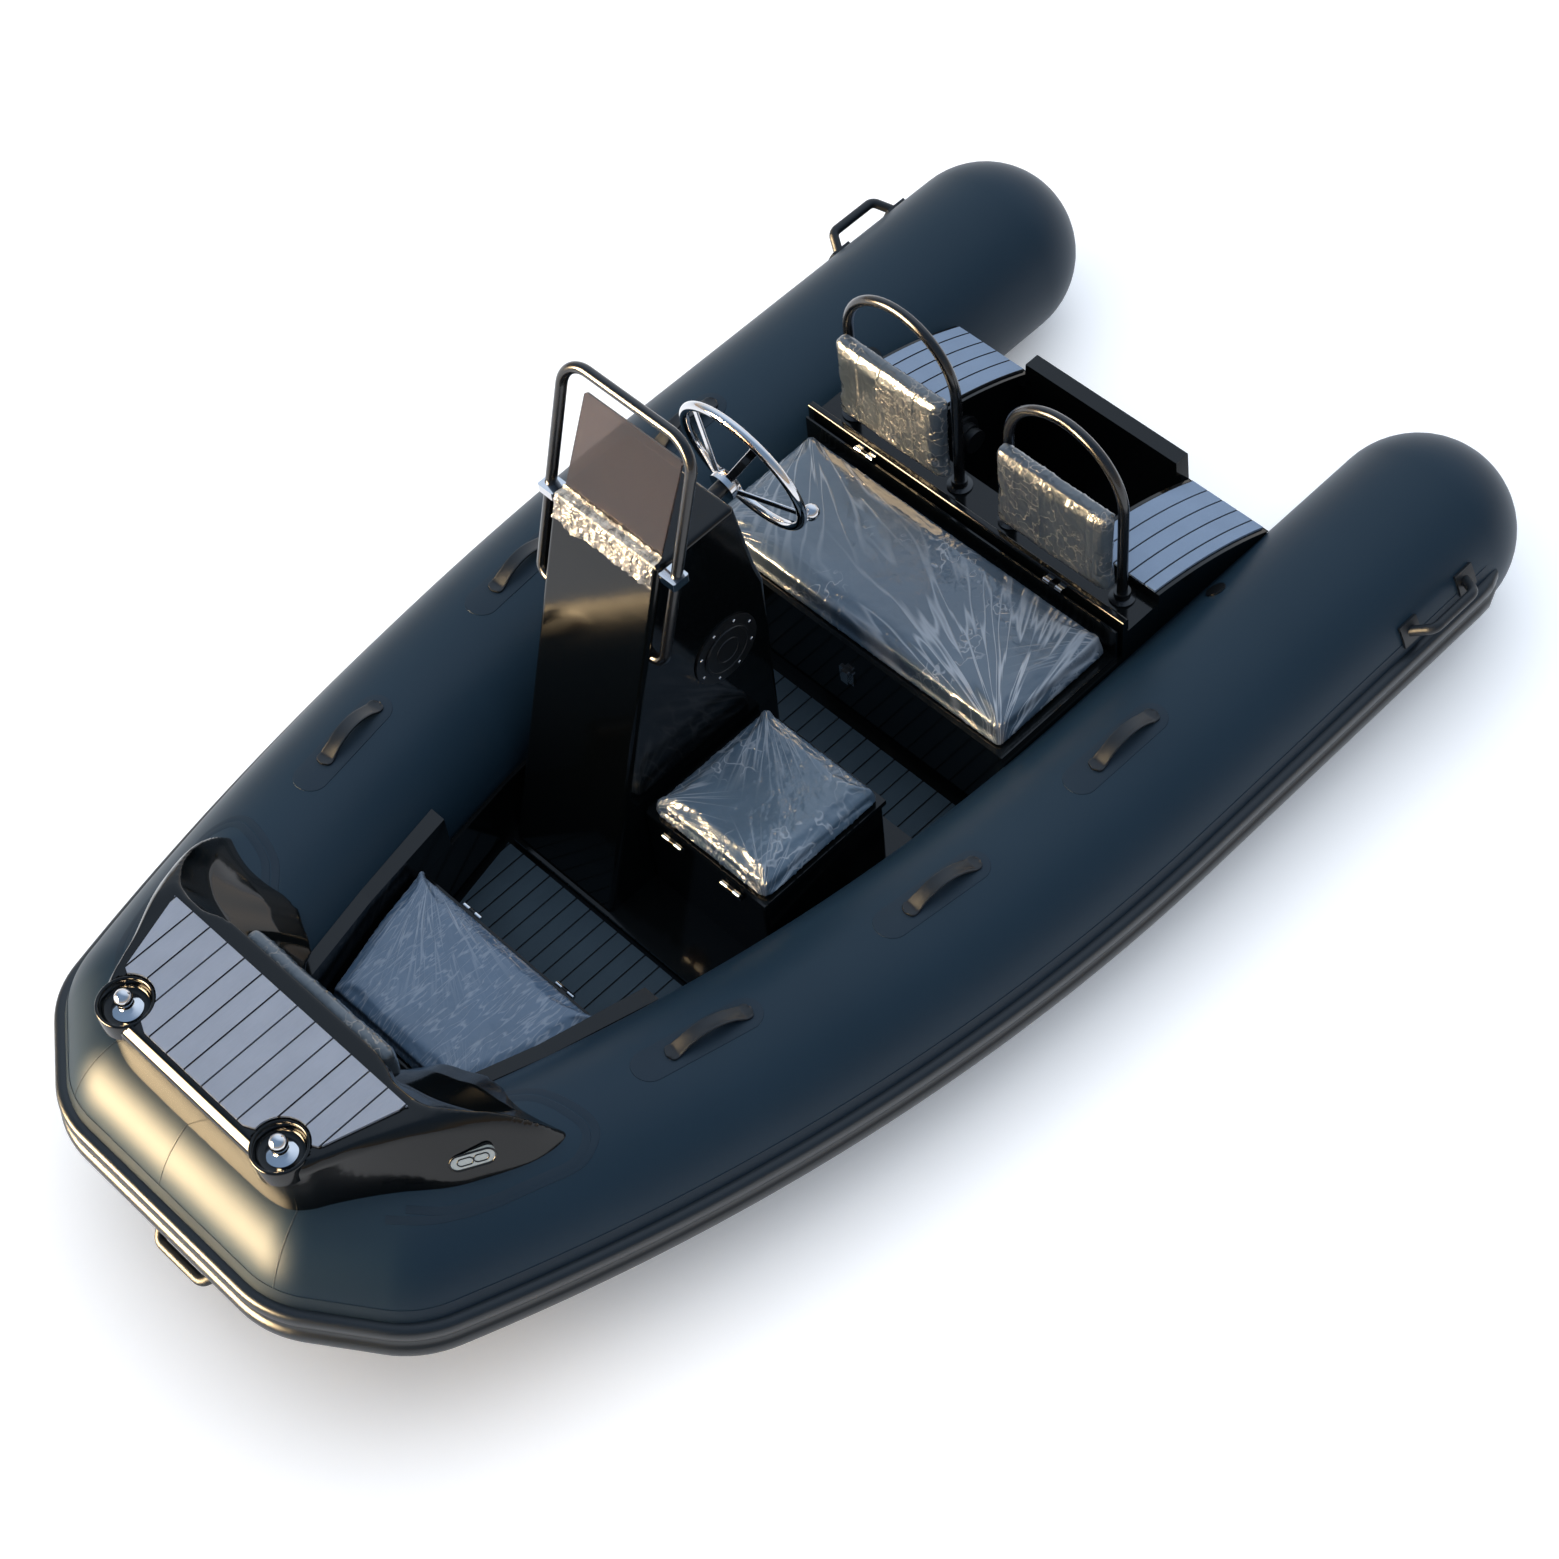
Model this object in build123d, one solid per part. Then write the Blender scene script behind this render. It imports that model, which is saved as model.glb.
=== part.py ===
from build123d import *
import os
from math import atan2, cos, degrees, pi, radians, sin, sqrt, tan

os.makedirs("parts", exist_ok=True)

# A small rigid inflatable tender, in millimetres. While it is drawn, X runs forward from the
# transom's aft face, Y to port from the centreline and Z up from the waterline. The finished
# pieces are moved so that X is measured from amidships.
MIDSHIP_X = 1150

# Buoyancy tubes: one air chamber each side and one across the blunt bow
TUBE_RADIUS = 225
TUBE_HALF_SPACING = 671
STERN_DOME_X = -290
STRAIGHT_END_X = 700
BOW_TURN_X = 2506
BOW_INSET = 295
BOW_TURN_RISE = 115
BOW_CORNER_LENGTH = 156
SEAT_GAP = 0.5
SOFT_GAP = 0.3

# Rubbing strake round the tubes
STRAKE_HALF_HEIGHT = 46
STRAKE_DEPTH = 20
STRAKE_GROOVE = 8

# Bottom and inner moulding
KEEL_DEPTH = 140
KEEL_HALF_WIDTH = 26
SPRAY_RAIL = 16
CHINE_ANGLE = 62
FLANGE_ANGLE = 43
HULL_TUBE_GAP = 3
STEM_SETBACK = 24
DECK_Z = 85
DECK_THICKNESS = 15
FLOOR_RISE_X = 2050
MIDDLE_STATIONS = (1150, 1600)
FLOOR_RISE = 80
LINER_WALL = 10
LINER_SIDE_GAP = 5

# Transom and the two aft steps
TRANSOM_THICKNESS = 40
TRANSOM_TOP_Z = 412
TRANSOM_SHOULDER_Z = 330
STEP_WIDTH = 231
STEP_AFT_X = 15
STEP_AFT_Z = 348
STEP_CREST_X = 200
STEP_CREST_Z = 425
STEP_FRONT_Z = 468
PLANK_WIDTH = 44
PLANK_GROOVE = 4
GROOVE_DEPTH = 2.5
PAD_THICKNESS = 6
PAD_MARGIN = 12

# Bench across the stern
BENCH_AFT_X = 387
BENCH_FRONT_X = 885
BENCH_SHELF_Z = 440
BENCH_LID_Z = 357
BENCH_SIDE_GAP = 10.8
BENCH_WALL = 10
RAIL_X = 487
RAIL_THICKNESS = 18
RAIL_TOP_Z = 482
BENCH_PIVOT_X = 518
BENCH_PIVOT_Z = 470
LID_THICKNESS = 15
LID_GAP = 1
SIDE_CLEARANCE = 6
LOCKER_RIM = 28

# Butt hinges of the three lids
BARREL_RADIUS = 6
PIN_RADIUS = 3
PIN_CLEARANCE = 0.3
KNUCKLE = 18
KNUCKLE_GAP = 0.6
PIVOT_REACH = 13
LEAF_THICKNESS = 3

# Cushions
BENCH_CUSHION_Z = 445
BACKREST_X = 482
BACKREST_THICKNESS = 45
BACKREST_INNER_Y = 74
BACKREST_ROUND = 14
BACKREST_BOTTOM_Z = 500
BACKREST_TOP_Z = 745
CUSHION_ROUND = 18

# Backrest hoops
HOOP_INNER_Y = 78
HOOP_INSET = 71
HOOP_TOP_Z = 890
HOOP_TUBE = 25
SOCKET_RADIUS = 19
SOCKET_HEIGHT = 24
SOCKET_FLANGE = 30
SOCKET_FLANGE_THICKNESS = 4

# Console with its raised base
PLINTH_FRONT_X = 1640
PLINTH_AFT_X = 1045
PLINTH_HEIGHT = 30
PLINTH_SIDE_GAP = 66
CONSOLE_WIDTH = 310
CONSOLE_SIDE_GAP = 126
CONSOLE_AFT_X = 1082
CONSOLE_RAKE = 0.30
CONSOLE_TOP_FRONT_X = 1350
CONSOLE_TOP_Z = 1055
CONSOLE_TOP_DEPTH = 213
DASH_BOTTOM_Z = 835
DASH_LIP = 60
CONSOLE_ROUND = 12

# Steering
WHEEL_X = 975
WHEEL_Z = 920
WHEEL_TILT = 10
WHEEL_RADIUS = 168
RIM_TUBE = 22
HUB_DISH = 52
HUB_RADIUS = 34
SPOKE_COUNT = 5
HUB_HEIGHT = 26
SHAFT_RADIUS = 17
BEZEL_RADIUS = 52
BEZEL_HEIGHT = 10
SPOKE_WIDTH = 20
SPOKE_THICKNESS = 5
SPOKE_ROOT = 8
SPOKE_START = 18
KNOB_RADIUS = 19
KNOB_STEM = 24
KNOB_ANGLE = 210

# Windscreen and the rail round it
SCREEN_THICKNESS = 5
SCREEN_MARGIN = 15
SCREEN_HEIGHT = 235
SCREEN_RAKE_ANGLE = 23
SCREEN_SETBACK = 22
SCREEN_SLOT = 14
GRAB_TUBE = 25
GRAB_OUT = 30
GRAB_SETBACK = 24
BRACKET_DROP = 22
BRACKET_LENGTH = 42
BRACKET_HEIGHT = 22
BRACKET_WALL = 4
GRAB_BOTTOM_Z = 815
GRAB_TOP_Z = 1345
GRAB_CORNER = 68
HATCH_RADIUS = 88
HATCH_X = 1211
HATCH_Z = 661
HATCH_RIM = 4
HATCH_PLUG_RADIUS = 64
HATCH_PROUD = 7

# Box seat beside the console
BOX_AFT_X = 1135
BOX_FRONT_X = 1494
BOX_LID_Z = 358
BOX_WALL = 8
BOX_CUSHION_Z = 425

# Bow locker and its seat
BOW_SEAT_AFT_X = 1900
BOW_LID_FRONT_X = 2250
BOW_LOCKER_FRONT_X = 2368
BOW_LID_Z = 275
BOW_CUSHION_Z = 345
COAMING_AFT_X = 1800
COAMING_ABOVE_AXIS = 100

# Bow step moulding and its fittings
STEP_TABLE_RADIUS = 225
STEP_TOP_RISE = 368
STEP_RIDGE_RISE = 298
STEP_BASE_RISE = 148
BOW_PLANK_WIDTH = 54
LIGHT_ASTERN = 226
LIGHT_BEYOND = 215
LIGHT_RISE = 248
LIGHT_LENGTH = 92
LIGHT_WIDTH = 38
LIGHT_DEPTH = 10
LIGHT_PROUD = 6
BITT_AHEAD = 39
BITT_INSET = 12
BITT_DISH_RADIUS = 56
BITT_DISH_DEPTH = 24
BITT_BALL = 17
BITT_BALL_RISE = 38
BITT_NECK = 9
BITT_NECK_RISE = 30
BITT_FLANGE = 27
BITT_FLANGE_THICKNESS = 5
BOW_BACK_DROP = 38
BOW_BACK_HEIGHT = 206
BOW_BACK_THICKNESS = 38

# Soft handles on the tubes, their stations and how far each stands from the tube's top
STRAP_STATIONS = (720, 1260, 1850)
STRAP_LENGTH = 150
STRAP_WIDTH = 32
STRAP_THICKNESS = 5
STRAP_RISE = 30
STRAP_FOOT = 26
HANDLE_LENGTH = 250
HANDLE_REACH = 50
HANDLE_TUBE = 24
PATCH_WIDTH = 56
PATCH_THICKNESS = 7
STERN_HANDLE_X = -90

# Small fittings
LATCH_HALF = 22
LATCH_Z = 254
BOOT_X = 240
BOOT_Z = 330
BOOT_RADIUS = 46
EYE_Z = 88
EYE_WIDTH = 40
EYE_REACH = 42
EYE_BAR = 10
VALVE_X = 250
VALVE_ANGLE = 40
VALVE_RADIUS = 24
VALVE_HEIGHT = 4

# Tilt of the handles on the tubes
HANDLE_ANGLE = 24
BOW_HANDLE_ANGLE = 38

# Widths that follow the tubes
BOW_TURN_Y = TUBE_HALF_SPACING - BOW_INSET
LID_REACH = sqrt(TUBE_RADIUS**2 - (BENCH_LID_Z - TUBE_RADIUS) ** 2)
BENCH_HALF_WIDTH = TUBE_HALF_SPACING - LID_REACH - BENCH_SIDE_GAP
CUSHION_HALF_WIDTH = BENCH_HALF_WIDTH - 22
STEP_OUTER_Y = BENCH_HALF_WIDTH
STEP_INNER_Y = STEP_OUTER_Y - STEP_WIDTH
TRANSOM_HALF_WIDTH = STEP_INNER_Y - 17
FOOTWELL_PAD_HALF = TUBE_HALF_SPACING - TUBE_RADIUS - 56
HOOP_OUTER_Y = BENCH_HALF_WIDTH - HOOP_INSET
TUBE_INNER_Y = TUBE_HALF_SPACING - TUBE_RADIUS
PLINTH_PORT_Y = TUBE_INNER_Y - PLINTH_SIDE_GAP
CONSOLE_STARBOARD_Y = CONSOLE_SIDE_GAP - TUBE_INNER_Y
CONSOLE_PORT_Y = CONSOLE_STARBOARD_Y + CONSOLE_WIDTH
BOX_PORT_Y = PLINTH_PORT_Y - 22

# The side tubes bend in one inclined plane, inboard and up at once
BEND_SHIFT = sqrt((TUBE_HALF_SPACING - BOW_TURN_Y) ** 2 + BOW_TURN_RISE**2)
BEND_ANGLE = 2 * atan2(BEND_SHIFT, BOW_TURN_X - STRAIGHT_END_X)
BEND_RADIUS = (BOW_TURN_X - STRAIGHT_END_X) / sin(BEND_ANGLE)
BEND_INWARD = Vector(0, BOW_TURN_Y - TUBE_HALF_SPACING, BOW_TURN_RISE).normalized()
AHEAD = Vector(1, 0, 0)
PORT = Vector(0, 1, 0)
TUBE_AXIS_Z = TUBE_RADIUS

# The bow chamber lies in a plane that rises forward as the side tubes end
BOW_TURN = Vector(BOW_TURN_X, BOW_TURN_Y, TUBE_AXIS_Z + BOW_TURN_RISE)
TURN_DIRECTION = AHEAD * cos(BEND_ANGLE) + BEND_INWARD * sin(BEND_ANGLE)
BOW_SLOPE = Vector(TURN_DIRECTION.X, 0, TURN_DIRECTION.Z).normalized()
TURN_SIN = -TURN_DIRECTION.Y
TURN_COS = sqrt(1 - TURN_SIN * TURN_SIN)
TURN_OUTWARD = BOW_SLOPE * TURN_SIN + PORT * TURN_COS
TURN_LEAN = atan2(TURN_SIN, TURN_COS)
CORNER_SWING = (pi / 2 - TURN_LEAN) / 2
CORNER_DIRECTION = BOW_SLOPE * cos(TURN_LEAN + CORNER_SWING) - PORT * sin(TURN_LEAN + CORNER_SWING)
CORNER_OUTWARD = BOW_SLOPE * sin(TURN_LEAN + CORNER_SWING) + PORT * cos(TURN_LEAN + CORNER_SWING)
BOW_FRONT = BOW_TURN + CORNER_DIRECTION * BOW_CORNER_LENGTH

# The bow step's corners are drawn for one tube radius, and spread and rise with the tube
STEP_SCALE = TUBE_RADIUS / STEP_TABLE_RADIUS
STEP_TOP_Z = BOW_FRONT.Z + STEP_TOP_RISE * STEP_SCALE
STEP_RIDGE_Z = BOW_FRONT.Z + STEP_RIDGE_RISE * STEP_SCALE
STEP_BASE_Z = BOW_FRONT.Z + STEP_BASE_RISE * STEP_SCALE
BOW_BACK_TOP_Z = STEP_TOP_Z - BOW_BACK_DROP
BOW_BACK_BOTTOM_Z = BOW_BACK_TOP_Z - BOW_BACK_HEIGHT
BITT_X = BOW_FRONT.X + BITT_AHEAD * STEP_SCALE
BITT_Y = BOW_FRONT.Y - BITT_INSET
BOW_BACK_HALF_WIDTH = BOW_FRONT.Y - 27

DECK_BOTTOM_Z = DECK_Z - DECK_THICKNESS
PLINTH_TOP_Z = DECK_Z + PLINTH_HEIGHT
MOULDING_STATIONS = (TRANSOM_THICKNESS + SEAT_GAP, STRAIGHT_END_X, *MIDDLE_STATIONS, FLOOR_RISE_X)
LINER_STATIONS = (*MOULDING_STATIONS, BOW_LOCKER_FRONT_X)
CONSOLE_MIDDLE_Y = (CONSOLE_PORT_Y + CONSOLE_STARBOARD_Y) / 2

# Each hoop's legs lie against the rounded back corners of its backrest
BACKREST_OUTER_Y = HOOP_OUTER_Y + HOOP_INNER_Y - BACKREST_INNER_Y
CORNER_REACH = BACKREST_ROUND + HOOP_TUBE / 2 + SOFT_GAP
CORNER_OFFSET = BACKREST_ROUND - (HOOP_INNER_Y - BACKREST_INNER_Y)
HOOP_X = BACKREST_X - BACKREST_THICKNESS + BACKREST_ROUND - sqrt(CORNER_REACH**2 - CORNER_OFFSET**2)


def bend_at(x):
    """Angle that a side tube has turned through at a station, in radians."""
    reach = max(0, min(1, (x - STRAIGHT_END_X) / BEND_RADIUS))
    return atan2(reach, sqrt(1 - reach * reach))


def axis_point(x):
    """Point of the port tube's axis at a station."""
    shift = BEND_INWARD * (BEND_RADIUS * (1 - cos(bend_at(x))))
    return Vector(x, TUBE_HALF_SPACING, TUBE_AXIS_Z) + shift


def tube_frame(x):
    """Section plane of the port tube: its X points outboard and its Y up."""
    bend = bend_at(x)
    ahead = AHEAD * cos(bend) + BEND_INWARD * sin(bend)
    outboard = Vector(-ahead.Y, ahead.X, 0).normalized()
    return Plane(origin=axis_point(x), x_dir=outboard, z_dir=ahead)


def inner_y(x, z=None, gap=0):
    """Inner surface of the port tube in the upright plane at a station."""
    centre = axis_point(x)
    rise = 0 if z is None else z - centre.Z
    reach = sqrt((TUBE_RADIUS + gap) ** 2 - rise * rise)
    return centre.Y - reach / cos(bend_at(x))


def mirrored(shape):
    """The same shape on the other side of the centreline."""
    return mirror(shape, about=Plane.XZ)


def save(name, *shapes):
    """Moves finished pieces so that X starts amidships, and writes them as one node."""
    moved = [Pos(-MIDSHIP_X, 0, 0) * solid for shape in shapes for solid in shape.solids()]
    export_step(moved[0] if len(moved) == 1 else Compound(children=moved), f"parts/{name}.step")


def block(x0, x1, y0, y1, z0, z1):
    """A box between two corners."""
    return Pos((x0 + x1) / 2, (y0 + y1) / 2, (z0 + z1) / 2) * Box(x1 - x0, y1 - y0, z1 - z0)


def soft_block(x0, x1, y0, y1, z0, z1, radius=None):
    """A cushion's plain body: a box with rounded upright corners and top edges."""
    radius = CUSHION_ROUND if radius is None else radius
    body = block(x0, x1, y0, y1, z0, z1)
    return fillet(body.edges().filter_by(Axis.Z) + body.edges().group_by(Axis.Z)[-1], radius)


def across(outline, y0, y1):
    """An outline in X and Z, of points or of edges, drawn out from y0 to y1."""
    edges = Polyline(*outline, close=True) if isinstance(outline[0], tuple) else outline
    face = make_face(edges)
    return extrude(Plane(origin=(0, y0, 0), x_dir=(1, 0, 0), z_dir=(0, -1, 0)) * face, y0 - y1)


def flat(points, z0, z1):
    """An outline in X and Y drawn up from z0 to z1."""
    return extrude(Pos(0, 0, z0) * make_face(Polyline(*points, close=True)), z1 - z0)


def rod(start, end, radius):
    """A round bar between two points."""
    axis = Vector(*end) - Vector(*start)
    return extrude(Plane(origin=start, z_dir=axis) * Circle(radius), axis.length)


def bar_along(path, radius):
    """A round bar along a path."""
    return sweep(Plane(origin=path @ 0, z_dir=path % 0) * Circle(radius), path=path)


def side_run(section, stern_x):
    """Any section, outboard along its X, run along the port tube's axis."""
    start = Plane(origin=(stern_x, TUBE_HALF_SPACING, TUBE_AXIS_Z), x_dir=(0, 1, 0), z_dir=(1, 0, 0))
    straight = extrude(start * section, STRAIGHT_END_X - stern_x)
    bend_start = Plane(origin=axis_point(STRAIGHT_END_X), x_dir=(0, 1, 0), z_dir=(1, 0, 0))
    centre = axis_point(STRAIGHT_END_X) + BEND_INWARD * BEND_RADIUS
    axis = Axis(origin=centre, direction=AHEAD.cross(BEND_INWARD))
    return straight + revolve(bend_start * section, axis=axis, revolution_arc=degrees(BEND_ANGLE))


def bow_round(radius):
    """A round run across the bow and a short one each side, with a ball at each corner."""
    side = rod(BOW_TURN, BOW_FRONT, radius) + Pos(*BOW_TURN) * Sphere(radius) + Pos(*BOW_FRONT) * Sphere(radius)
    side = side + rod(BOW_FRONT, (BOW_FRONT.X, 0, BOW_FRONT.Z), radius)
    return side + mirrored(side)


def bow_tube():
    """The bow chamber, cut square where the side tubes end."""
    turn = Plane(origin=BOW_TURN, x_dir=TURN_OUTWARD, z_dir=TURN_DIRECTION)
    width = 2 * TUBE_RADIUS + 1
    taken = turn * Pos(0, 0, -TUBE_RADIUS) * Box(width, width, 2 * TUBE_RADIUS)
    return bow_round(TUBE_RADIUS) - taken - mirrored(taken)


def bow_run(section):
    """A section outside the tube, its X outboard, run round the bow chamber and its corners."""
    def place(origin, outward, ahead):
        return Plane(origin=origin, x_dir=outward, z_dir=ahead) * section

    upright = TURN_OUTWARD.cross(TURN_DIRECTION)
    swing = degrees(CORNER_SWING)
    first = revolve(place(BOW_TURN, TURN_OUTWARD, TURN_DIRECTION), Axis(BOW_TURN, upright), swing)
    short = extrude(place(BOW_TURN, CORNER_OUTWARD, CORNER_DIRECTION), BOW_CORNER_LENGTH)
    second = revolve(place(BOW_FRONT, CORNER_OUTWARD, CORNER_DIRECTION), Axis(BOW_FRONT, upright), swing)
    corner = first + short + second
    return corner + extrude(place(BOW_FRONT, BOW_SLOPE, -PORT), 2 * BOW_FRONT.Y) + mirrored(corner)


def side_tube(radius):
    """The port tube from its stern dome to the bow turn."""
    quarter = [Line((0, 0), (0, radius)), CenterArc((0, 0), radius, 90, 90), Line((-radius, 0), (0, 0))]
    dome = revolve(make_face(quarter), axis=Axis.X)
    return side_run(Circle(radius), STERN_DOME_X) + Pos(STERN_DOME_X, TUBE_HALF_SPACING, TUBE_AXIS_Z) * dome


def strake_section():
    """The strake's outline: a concave back on the tube and two ridges with a groove between."""
    inner = TUBE_RADIUS + SEAT_GAP
    root = sqrt(inner**2 - STRAKE_HALF_HEIGHT**2)
    ridge = inner + STRAKE_DEPTH
    upper = [
        (root, STRAKE_HALF_HEIGHT),
        (ridge, 0.82 * STRAKE_HALF_HEIGHT),
        (ridge, 0.32 * STRAKE_HALF_HEIGHT),
        (ridge - STRAKE_GROOVE, 0.2 * STRAKE_HALF_HEIGHT),
    ]
    lower = [(x, -y) for x, y in reversed(upper)]
    return make_face([Polyline(*upper, *lower), ThreePointArc(lower[-1], (inner, 0), upper[0])])


def floor_z(x):
    """Top of the floor, which rises under the bow locker."""
    return DECK_Z + FLOOR_RISE * max(0, x - FLOOR_RISE_X) / (BOW_TURN_X - FLOOR_RISE_X)


def bottom_section(x, keel_z, chine_drop):
    """V section of the bottom at a station, with a hollow on each side that the tube lies in."""
    centre = axis_point(x)
    radius = TUBE_RADIUS + HULL_TUBE_GAP

    def on_tube(angle):
        lean = radians(angle)
        return centre.Y - radius * cos(lean), centre.Z - radius * sin(lean)

    flange, chine = on_tube(FLANGE_ANGLE), on_tube(CHINE_ANGLE)
    middle = on_tube((FLANGE_ANGLE + CHINE_ANGLE) / 2)
    spray = (chine[0] - SPRAY_RAIL, chine[1] - chine_drop)
    floor = (liner_half_width(x) + 1, floor_z(x) - DECK_THICKNESS - SEAT_GAP)
    keel = (KEEL_HALF_WIDTH, keel_z)
    port = [floor, flange, middle, chine, spray, keel]
    other = [(-y, z) for y, z in port]
    edges = [
        Line(other[0], port[0]),
        Line(port[0], port[1]),
        ThreePointArc(*port[1:4]),
        Line(port[3], port[4]),
        Line(port[4], port[5]),
        Line(port[5], other[5]),
        Line(other[5], other[4]),
        Line(other[4], other[3]),
        ThreePointArc(other[3], other[2], other[1]),
        Line(other[1], other[0]),
    ]
    upright = Plane(origin=(x, 0, 0), x_dir=(0, 1, 0), z_dir=(1, 0, 0))
    return upright * make_face(edges)


def hull():
    """The deep-V bottom from the transom to under the bow chamber."""
    # station, height of the keel, drop of the spray rail below the chine
    rows = (
        (MOULDING_STATIONS[0], -KEEL_DEPTH, 30),
        (MOULDING_STATIONS[1], -KEEL_DEPTH, 30),
        (MOULDING_STATIONS[2], 4 - KEEL_DEPTH, 30),
        (MOULDING_STATIONS[3], 18 - KEEL_DEPTH, 26),
        (MOULDING_STATIONS[4], 60 - KEEL_DEPTH, 20),
        (BOW_TURN_X - STEM_SETBACK, 36, 10),
    )
    return loft([bottom_section(*row) for row in rows], ruled=True)


def between_stations(value, x):
    """A value that the inner moulding has at its stations, read straight between them."""
    pairs = list(zip(LINER_STATIONS, LINER_STATIONS[1:]))
    x0, x1 = next((pair for pair in pairs if x <= pair[1]), pairs[-1])
    return value(x0) + (value(x1) - value(x0)) * (x - x0) / (x1 - x0)


def liner_half_width(x):
    """Outer half width of the inner moulding's upright sides."""
    return between_stations(inner_y, x) - LINER_SIDE_GAP


def liner_top_z(x):
    """Height of the inner moulding's upright sides."""
    return between_stations(lambda station: axis_point(station).Z, x)


def deck_liner():
    """The inner moulding: a floor with upright sides, open above and at its aft end."""
    def section(x):
        wide, high = liner_half_width(x), liner_top_z(x)
        inside = wide - LINER_WALL
        port = [(wide, floor_z(x) - DECK_THICKNESS), (wide, high), (inside, high), (inside, floor_z(x))]
        points = port + [(-y, z) for y, z in reversed(port)]
        upright = Plane(origin=(x, 0, 0), x_dir=(0, 1, 0), z_dir=(1, 0, 0))
        return upright * make_face(Polyline(*points, close=True))

    return loft([section(x) for x in LINER_STATIONS], ruled=True)


port_tube = side_tube(TUBE_RADIUS)
seat = side_tube(TUBE_RADIUS + SEAT_GAP)
seats = [seat, mirrored(seat)]
bow_seat = bow_round(TUBE_RADIUS + SEAT_GAP)


def seated(shape, *cutters):
    """A moulding with the hollows that the tubes lie in cut from it."""
    for cutter in cutters or seats:
        shape = shape - cutter
    return shape


save("tube_port", port_tube)
save("tube_starboard", mirrored(port_tube))
save("tube_bow", bow_tube())
strake = strake_section()
side_strake = side_run(strake, STERN_DOME_X)
save("rub_strake", side_strake, mirrored(side_strake), bow_run(strake))
save("hull", hull() - bow_seat)
save("deck_liner", deck_liner())


def inside_half_width(x):
    """Half width between the inner moulding's upright sides."""
    return liner_half_width(x) - LINER_WALL


def clear_of_liner(shape):
    """Cuts away what would stand in the inner moulding's upright sides, and the tubes' hollows."""
    half = inside_half_width(BENCH_FRONT_X) - SEAT_GAP
    for side in (1, -1):
        y0, y1 = sorted((side * half, side * TUBE_HALF_SPACING))
        shape = shape - block(0, BENCH_FRONT_X + 1, y0, y1, 0, TUBE_AXIS_Z + 8)
    return seated(shape)


def transom():
    """The transom: a raised middle for the motor clamps between low shoulders."""
    chine = bottom_chine()
    port = [
        (TRANSOM_HALF_WIDTH, TRANSOM_TOP_Z),
        (TRANSOM_HALF_WIDTH + 6, TRANSOM_SHOULDER_Z),
        (STEP_OUTER_Y, TRANSOM_SHOULDER_Z),
        (TUBE_HALF_SPACING - 0.6 * TUBE_RADIUS, TUBE_AXIS_Z - 20),
        chine,
        (chine[0] - SPRAY_RAIL, chine[1] - 30),
        (KEEL_HALF_WIDTH, -KEEL_DEPTH),
    ]
    points = port + [(-y, z) for y, z in reversed(port)]
    upright = Plane(origin=(0, 0, 0), x_dir=(0, 1, 0), z_dir=(1, 0, 0))
    plate = extrude(upright * make_face(Polyline(*points, close=True)), TRANSOM_THICKNESS)
    return seated(plate)


def bottom_chine():
    """Where the bottom meets the tube at the stern."""
    lean = radians(CHINE_ANGLE)
    radius = TUBE_RADIUS + HULL_TUBE_GAP
    return TUBE_HALF_SPACING - radius * cos(lean), TUBE_AXIS_Z - radius * sin(lean)


def step_arc(lift):
    """The aft step's arched top, raised by a lift."""
    return ThreePointArc(
        (STEP_AFT_X, STEP_AFT_Z + lift),
        (STEP_CREST_X, STEP_CREST_Z + lift),
        (BENCH_AFT_X - SEAT_GAP, STEP_FRONT_Z + lift),
    )


def aft_step():
    """The port step: a moulded box that rises in an arch to the bench."""
    front, aft = BENCH_AFT_X - SEAT_GAP, TRANSOM_THICKNESS + SEAT_GAP
    arc = step_arc(0)
    sides = Polyline(
        arc @ 1, (front, DECK_Z), (aft, DECK_Z), (aft, TRANSOM_SHOULDER_Z + SEAT_GAP),
        (STEP_AFT_X, TRANSOM_SHOULDER_Z + SEAT_GAP), arc @ 0,
    )
    return clear_of_liner(across([arc, sides], STEP_INNER_Y, STEP_OUTER_Y))


def aft_step_pad():
    """The port step's foam pad: planks along the arch with grooves between them."""
    def sheet(low, high, y0, y1):
        bottom, top = step_arc(low), step_arc(high)
        return across([bottom, Line(bottom @ 1, top @ 1), top, Line(top @ 0, bottom @ 0)], y0, y1)

    y0, y1 = STEP_INNER_Y + PAD_MARGIN, STEP_OUTER_Y - PAD_MARGIN
    pad = sheet(0, PAD_THICKNESS, y0, y1)
    y = y0 + PLANK_WIDTH
    while y < y1 - PLANK_WIDTH / 2:
        pad = pad - sheet(PAD_THICKNESS - GROOVE_DEPTH, PAD_THICKNESS + 5, y - PLANK_GROOVE / 2, y + PLANK_GROOVE / 2)
        y += PLANK_WIDTH
    return pad


def planked(points, z, pitch, middle=0):
    """A foam pad on a flat top, with fore and aft grooves either side of a middle line."""
    pad = flat(points, z, z + PAD_THICKNESS)
    xs, ys = [x for x, y in points], [y for x, y in points]
    count = int(max(abs(min(ys) - middle), abs(max(ys) - middle)) // pitch) + 1
    for step in range(-count, count):
        y = middle + (step + 0.5) * pitch
        groove = block(min(xs) - 1, max(xs) + 1, y - PLANK_GROOVE / 2, y + PLANK_GROOVE / 2,
                       z + PAD_THICKNESS - GROOVE_DEPTH, z + PAD_THICKNESS + 1)
        pad = pad - groove
    return pad


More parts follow.
